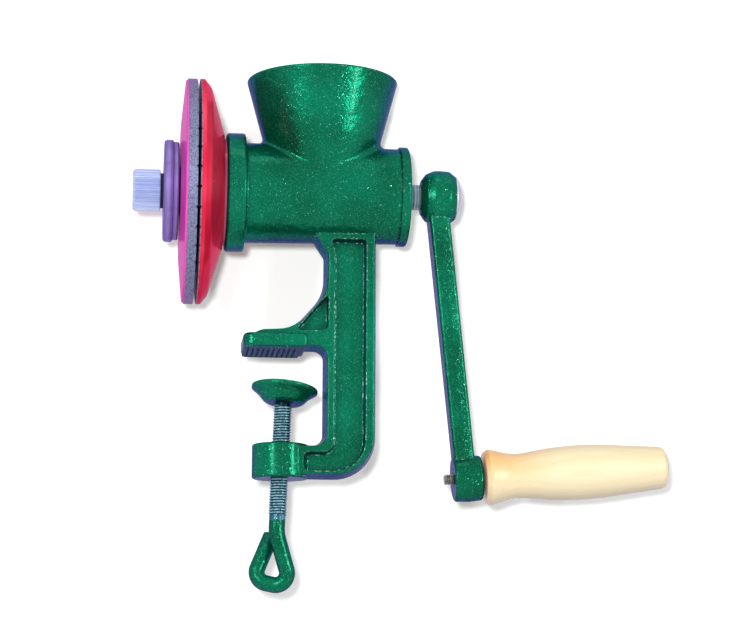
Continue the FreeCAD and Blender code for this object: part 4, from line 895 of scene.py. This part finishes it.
@dataclass
class Handle:
    """The wooden grip with its bolt, on its own rising axis."""

    start: Point = (92.093 * MM, 0.0, -67.9 * MM)
    rise: float = math.radians(4.1)
    grip_start: float = 16.9 * MM
    grip_long: float = 101.6 * MM
    bolt_wide: float = 6 * MM
    bolt_end: float = -4.9 * MM
    bolt_pitch: float = 1 * MM
    thread_deep: float = 0.55 * MM
    head_start: float = 116.6 * MM
    head_wide: float = 10.6 * MM
    head_high: float = 3.3 * MM
    slot_wide: float = 1.2 * MM
    slot_deep: float = 1.4 * MM
    tip_high: float = 1.2 * MM
    shank_low: float = 0.6 * MM

    def bolt(self) -> bpy.types.Object:
        """Model the bolt with a real thread at its end and a slotted round head.

        Returns:
            The bolt in its place.
        """
        half = self.bolt_wide / 2
        thread = threaded("bolt_thread", self.bolt_wide, self.thread_deep, self.bolt_pitch,
                          self.bolt_end + 0.35 * MM, self.tip_high, 24)
        tip = turned("bolt_tip", [(0.0, self.bolt_end), (half - 0.75 * MM, self.bolt_end),
                                  (half - self.thread_deep, self.bolt_end + 0.2 * MM),
                                  (half - self.thread_deep, self.tip_high),
                                  (0.0, self.tip_high)], 32)
        top = self.head_start + self.head_high
        wide = self.head_wide / 2
        shank = turned("bolt_shank", [
            (0.0, self.shank_low), (half, self.shank_low), (half, self.head_start),
            (wide - 0.2 * MM, self.head_start), (wide, self.head_start + 0.25 * MM),
            (wide, self.head_start + self.head_high * 0.5),
            (wide * 0.93, self.head_start + self.head_high * 0.72),
            (wide * 0.78, self.head_start + self.head_high * 0.9), (wide * 0.5, top), (0.0, top)], 48)
        clean(shank)
        bpy.ops.mesh.primitive_cube_add(size=1.0, location=(0.0, 0.0, top),
                                        scale=(self.head_wide * 1.2, self.slot_wide,
                                               self.slot_deep * 2))
        cutter = bpy.context.object
        settle()
        cut = shank.modifiers.new("slot", "BOOLEAN")
        cut.operation = "DIFFERENCE"
        cut.object = cutter
        bpy.context.view_layer.objects.active = shank
        bpy.ops.object.modifier_apply(modifier=cut.name)
        bpy.data.objects.remove(cutter)
        piece = joined("handle_bolt_cut", [shank, thread, tip])
        clean(piece)
        piece.rotation_euler = (0.0, math.pi / 2 - self.rise, 0.0)
        piece.location = self.start
        settle()
        return piece

    def build(self, nodes: dict[str, bpy.types.Object], zinc: TurnedMetal) -> None:
        """Make the bolt and dress the grip.

        Args:
            nodes: The CAD nodes by name.
            zinc: The finish of the bolt.
        """
        bolt = self.bolt()
        dress(bolt, zinc.material())
        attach(bolt, nodes["handle_bolt"]["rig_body"])
        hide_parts("handle_bolt")
        along = Vector((math.cos(self.rise), 0.0, math.sin(self.rise))) * self.grip_start
        centre = tuple(Vector(self.start) + along)
        dress(nodes["handle_grip"], VarnishedWood(
            "varnished_wood", centre, self.rise, self.grip_long).material())


@dataclass
class Clamp:
    """The clamp screw with its riveted nose and the eye bent from its own rod."""

    lean: float = math.radians(2.3)
    across: float = 10 * MM
    pitch: float = 1.5 * MM
    thread_deep: float = 0.65 * MM
    thread_high: float = -29.3 * MM
    thread_low: float = -88.6 * MM
    rod_wide: float = 8.8 * MM
    neck_wide: float = 6.8 * MM
    peen_low: float = -23.3 * MM
    peen_high: float = 2.4 * MM
    peen_out: float = 1.4 * MM
    eye_start: float = 98.6 * MM
    eye_low: float = 127.85 * MM
    eye_rise: float = 3.9 * MM
    eye_right: float = 9.9 * MM
    eye_left: float = 11.4 * MM
    end_low: float = 99.1 * MM
    end_left: float = 2.2 * MM
    bend: float = 6.4 * MM
    rod_gap: float = 0.6 * MM
    round_faces: int = 28

    def nose(self) -> bpy.types.Object:
        """Turn the neck that carries the pad, with its riveted end."""
        neck = self.neck_wide / 2
        low, high = self.peen_low, self.peen_low + self.peen_high
        return turned("screw_nose", [
            (0.0, self.thread_high - 2 * MM), (neck, self.thread_high - 2 * MM), (neck, low),
            (neck + self.peen_out, low), (neck + self.peen_out + 0.1 * MM, low + 0.3 * MM),
            (neck + self.peen_out, low + self.peen_high * 0.45),
            (neck + self.peen_out / 2, high - 0.6 * MM),
            (neck - 1 * MM, high), (0.0, high)], 48)

    @staticmethod
    def arc(corner: Vector, before: Vector, after: Vector, bend: float) -> tuple[Vector, Vector]:
        """Find where a bend starts and ends.

        Args:
            corner: Where the two runs would meet.
            before: The way of the run that comes in.
            after: The way of the run that goes out.
            bend: The bend's radius.

        Returns:
            The bend's first and last point.
        """
        reach = bend * math.tan(before.angle(after) / 2)
        return corner - before * reach, corner + after * reach

    def eye(self) -> bpy.types.Object:
        """Bend the rod below the thread to the eye, one run and one bend at a time.

        Returns:
            The rod with its eye.
        """
        behind = self.rod_wide + self.rod_gap
        path = [
            Vector((0.0, 0.0, self.thread_low + 0.4 * MM)),
            Vector((0.0, 0.0, -self.eye_start)),
            Vector((self.eye_right, behind * 0.2, -self.eye_low)),
            Vector((-self.eye_left, behind * 0.65, self.eye_rise - self.eye_low)),
            Vector((-self.end_left, behind, -self.end_low)),
        ]
        bends = (3 * self.bend, self.bend, self.bend)
        bpy.ops.object.select_all(action="DESELECT")
        bpy.ops.mesh.primitive_circle_add(vertices=self.round_faces, radius=self.rod_wide / 2,
                                          fill_type="NOTHING", location=tuple(path[0]))
        piece = bpy.context.object
        piece.name = "screw_eye"
        settle()
        start_edit()
        here = path[0]
        for number, bend in enumerate(bends, start=1):
            before = (path[number] - path[number - 1]).normalized()
            after = (path[number + 1] - path[number]).normalized()
            first, last = self.arc(path[number], before, after, bend)
            drag(first - here)
            axis = before.cross(after).normalized()
            centre = first + axis.cross(before) * bend
            bpy.ops.mesh.spin(steps=max(6, round(math.degrees(before.angle(after)) / 7)),
                              angle=-before.angle(after), center=tuple(centre), axis=tuple(axis))
            here = last
        drag(path[-1] - here)
        way = (path[-1] - path[-2]).normalized()
        bpy.ops.mesh.edge_face_add()
        bpy.ops.mesh.inset(thickness=0.7 * MM, depth=0.0)
        bpy.ops.transform.translate(value=tuple(way * 0.5 * MM))
        end_edit()
        return piece

    def build(self, nodes: dict[str, bpy.types.Object], paint: FleckPaint) -> None:
        """Make the whole screw and dress it.

        Args:
            nodes: The CAD nodes by name.
            paint: The paint on the eye.
        """
        thread = threaded("screw_thread", self.across, self.thread_deep, self.pitch,
                          self.thread_low, self.thread_high)
        rod = joined("clamp_rod", [thread, self.nose(), self.eye()])
        rod.rotation_euler = (0.0, self.lean, 0.0)
        settle()
        clean(rod)
        dress(rod, ClampRod("clamp_rod", self.lean, paint).material())
        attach(rod, nodes["clamp_screw"]["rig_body"])
        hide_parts("clamp_screw")


@dataclass
class Finishes:
    """One finish for each of the record's plain slots, put on the CAD nodes that use them."""

    paint: FleckPaint = FleckPaint("green_fleck_paint")
    zinc: TurnedMetal = TurnedMetal(
        "zinc_plate", colour(190, 186, 178), colour(104, 100, 96), 0.9, 0.32, 0.3 * MM)

    def materials(self) -> dict[str, bpy.types.Material]:
        """Make the material of each slot.

        Returns:
            The materials by slot name.
        """
        red = DiscPaint("red_disc_paint", colour(244, 62, 90), colour(218, 36, 66),
                        (1.0, 0.15, 0.6, 1.0), -49.0 * MM, -1)
        pink = DiscPaint("pink_disc_paint", colour(252, 104, 212), colour(246, 84, 190),
                         (1.0, 0.3, 0.95, 1.0), -56.25 * MM, 1)
        iron = TurnedMetal("violet_iron", colour(154, 146, 206), colour(108, 92, 160), 0.6, 0.42,
                           0.7 * MM, 0.05 * MM, grit=0.12, slant=(0.55, 0.4, 1.0, 1.0))
        shaft = TurnedMetal("turned_shaft", colour(150, 176, 184), colour(30, 48, 60), 0.85, 0.3,
                            1.1 * MM, 0.05 * MM, grit=0.4)
        hard = TurnedMetal("ground_washer", colour(128, 130, 142), colour(70, 72, 84), 0.9, 0.25)
        bright = TurnedMetal("bright_dome", colour(206, 208, 216), colour(160, 162, 182), 0.75,
                             0.22, 0.5 * MM, 0.01 * MM, grit=0.05)
        bronze = TurnedMetal("sintered_bronze", colour(206, 160, 92), colour(134, 92, 44), 0.85,
                             0.4, grit=0.5)
        finishes = {
            Slot.GREEN: self.paint, Slot.RED: red, Slot.PINK: pink, Slot.IRON: iron,
            Slot.KNURLED: KnurledPlate(), Slot.FIBRE: Fibre(), Slot.SHAFT: shaft,
            Slot.HARDENED: hard, Slot.ZINC: self.zinc, Slot.BRIGHT: bright, Slot.BRONZE: bronze,
        }
        return {slot.value: finish.material() for slot, finish in finishes.items()}

    def put_on(self, nodes: dict[str, bpy.types.Object], record: dict) -> None:
        """Dress every CAD node whose slot has a plain finish.

        Args:
            nodes: The CAD nodes by name.
            record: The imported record.
        """
        made = self.materials()
        for part in record["subparts"]:
            if part["material_slot"] in made:
                dress(nodes[part["node"]], made[part["material_slot"]])
        dress(nodes["grinder_body"], CastingPaint("casting_paint").material())


@dataclass(frozen=True)
class Lamp:
    """A soft box."""

    name: str
    place: Point
    wide: float
    high: float
    power: float
    in_gloss: bool = True

    def build(self, aim: Point) -> None:
        """Hang the lamp and point it.

        Args:
            aim: Where it points.
        """
        light = bpy.data.lights.new(self.name, "AREA")
        light.shape = "RECTANGLE"
        light.size = self.wide
        light.size_y = self.high
        light.energy = self.power
        lamp = bpy.data.objects.new(self.name, light)
        bpy.context.scene.collection.objects.link(lamp)
        lamp.location = self.place
        way = Vector(aim) - Vector(self.place)
        lamp.rotation_euler = way.to_track_quat("-Z", "Y").to_euler()
        lamp.visible_glossy = self.in_gloss


@dataclass
class Studio:
    """The camera, the lamps, and the pale floor and backdrop."""

    eye: Point = (-86.46 * MM, -1295.7 * MM, -204.04 * MM)
    yaw: float = math.radians(5.990)
    pitch: float = math.radians(9.806)
    roll: float = math.radians(0.254)
    lens: float = 115.08
    middle: Point = (49.5 * MM, 0.0, 21.1 * MM)
    backdrop_behind: float = 72 * MM
    backdrop_wide: float = 3.0
    floor_height: float = -0.16
    ambient: float = 0.22
    glow: float = 0.2
    key_left: float = 0.05
    key_over: float = 0.06
    soft_boxes: tuple[Lamp, ...] = (
        Lamp("right_strip", (1.0, -0.85, 0.1), 0.05, 0.5, 5.5),
        Lamp("left_strip", (-0.72, -1.05, 0.25), 0.05, 0.4, 4.2),
        Lamp("top_box", (-0.1, -0.35, 1.3), 0.5, 0.3, 1.0),
    )

    def axes(self) -> tuple[Vector, Vector, Vector]:
        """Work out the camera's own axes.

        Returns:
            Right, up and forward.
        """
        forward = Vector((math.sin(self.yaw) * math.cos(self.pitch),
                          math.cos(self.yaw) * math.cos(self.pitch), math.sin(self.pitch)))
        level = Vector((math.cos(self.yaw), -math.sin(self.yaw), 0.0))
        steep = level.cross(forward)
        right = level * math.cos(self.roll) + steep * math.sin(self.roll)
        return right, steep * math.cos(self.roll) - level * math.sin(self.roll), forward

    def camera(self) -> None:
        """Put the camera where the photograph was taken from."""
        right, up, forward = self.axes()
        data = bpy.data.cameras.new("camera")
        data.lens = self.lens
        data.sensor_width = 36.0
        data.clip_end = 20.0
        camera = bpy.data.objects.new("camera", data)
        bpy.context.scene.collection.objects.link(camera)
        turn = Matrix((right, up, -forward)).transposed().to_4x4()
        camera.matrix_world = Matrix.Translation(self.eye) @ turn
        bpy.context.scene.camera = camera

    def pale(self, name: str) -> bpy.types.Material:
        """Make the white surface that only the camera sees, and only from its front.

        Args:
            name: The material's name.

        Returns:
            The material.
        """
        material, tree = new_material(name)
        here = tree.place()
        tone = tree.mix(tree.noise(here, 0.2), colour(252, 252, 252), colour(255, 255, 255))
        matt = tree.add("ShaderNodeBsdfDiffuse", {"Color": tone})
        glow = tree.add("ShaderNodeEmission", {"Color": tone, "Strength": self.glow})
        white = tree.add("ShaderNodeAddShader", {0: matt.outputs[0], 1: glow.outputs[0]})
        clear = tree.add("ShaderNodeBsdfTransparent")
        path = tree.add("ShaderNodeLightPath").outputs
        back = tree.add("ShaderNodeNewGeometry").outputs["Backfacing"]
        seen = tree.math("MULTIPLY", path["Is Camera Ray"], tree.math("SUBTRACT", 1.0, back))
        mixed = tree.add("ShaderNodeMixShader", {0: seen, 1: clear.outputs[0], 2: white.outputs[0]})
        tree.add("ShaderNodeOutputMaterial", {"Surface": mixed.outputs[0]})
        return material

    def surfaces(self) -> None:
        """Lay the floor and hang the backdrop behind the object."""
        right, up, forward = self.axes()
        material = self.pale("pale_paper")
        for name, turn, place in (
            ("backdrop", Matrix((right, up, -forward)).transposed().to_4x4(),
             Vector(self.middle) + forward * self.backdrop_behind),
            ("floor", Matrix.Identity(4), Vector((0.05, 0.0, self.floor_height))),
        ):
            bpy.ops.object.select_all(action="DESELECT")
            bpy.ops.mesh.primitive_plane_add(size=self.backdrop_wide)
            sheet = bpy.context.object
            sheet.name = name
            sheet.matrix_world = Matrix.Translation(place) @ turn
            dress(sheet, material)

    def world(self) -> None:
        """Fill the room with even light and a white background."""
        world = bpy.data.worlds.new("studio")
        world.use_nodes = True
        tree = Tree(world.node_tree)
        path = tree.add("ShaderNodeLightPath").outputs
        seen = tree.math("MAXIMUM", path["Is Camera Ray"], tree.math(
            "MAXIMUM", path["Is Glossy Ray"], path["Is Transmission Ray"]))
        strength = tree.span(seen, 0.0, 1.0, self.ambient, 1.0)
        light = tree.add("ShaderNodeBackground", {"Color": (1.0, 1.0, 1.0, 1.0),
                                                  "Strength": strength})
        tree.add("ShaderNodeOutputWorld", {"Surface": light.outputs[0]})
        bpy.context.scene.world = world

    def build(self) -> None:
        """Set up the whole studio."""
        self.camera()
        self.surfaces()
        self.world()
        right, up, _ = self.axes()
        key = Vector(self.eye) - right * self.key_left + up * self.key_over
        key_lamp = Lamp("key", tuple(key), 0.06, 0.06, 12.0, in_gloss=False)
        for lamp in (key_lamp, *self.soft_boxes):
            lamp.build(self.middle)
        bpy.context.scene.view_settings.view_transform = "Standard"


def main() -> None:
    """Load the frame, dress the CAD nodes, add the new pieces and set up the studio."""
    logging.basicConfig(level=logging.INFO)
    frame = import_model()
    nodes = frame["nodes"]
    finishes = Finishes()
    finishes.put_on(nodes, frame["record"])
    Clamp().build(nodes, finishes.paint)
    Handle().build(nodes, TurnedMetal(
        "zinc_bolt", finishes.zinc.light, finishes.zinc.dark, 0.9, 0.32, 0.3 * MM,
        centre=Handle.start, turn=(0.0, -Handle.rise, 0.0)))
    Studio().build()
    bpy.context.view_layer.update()


if __name__ == "__main__":
    main()
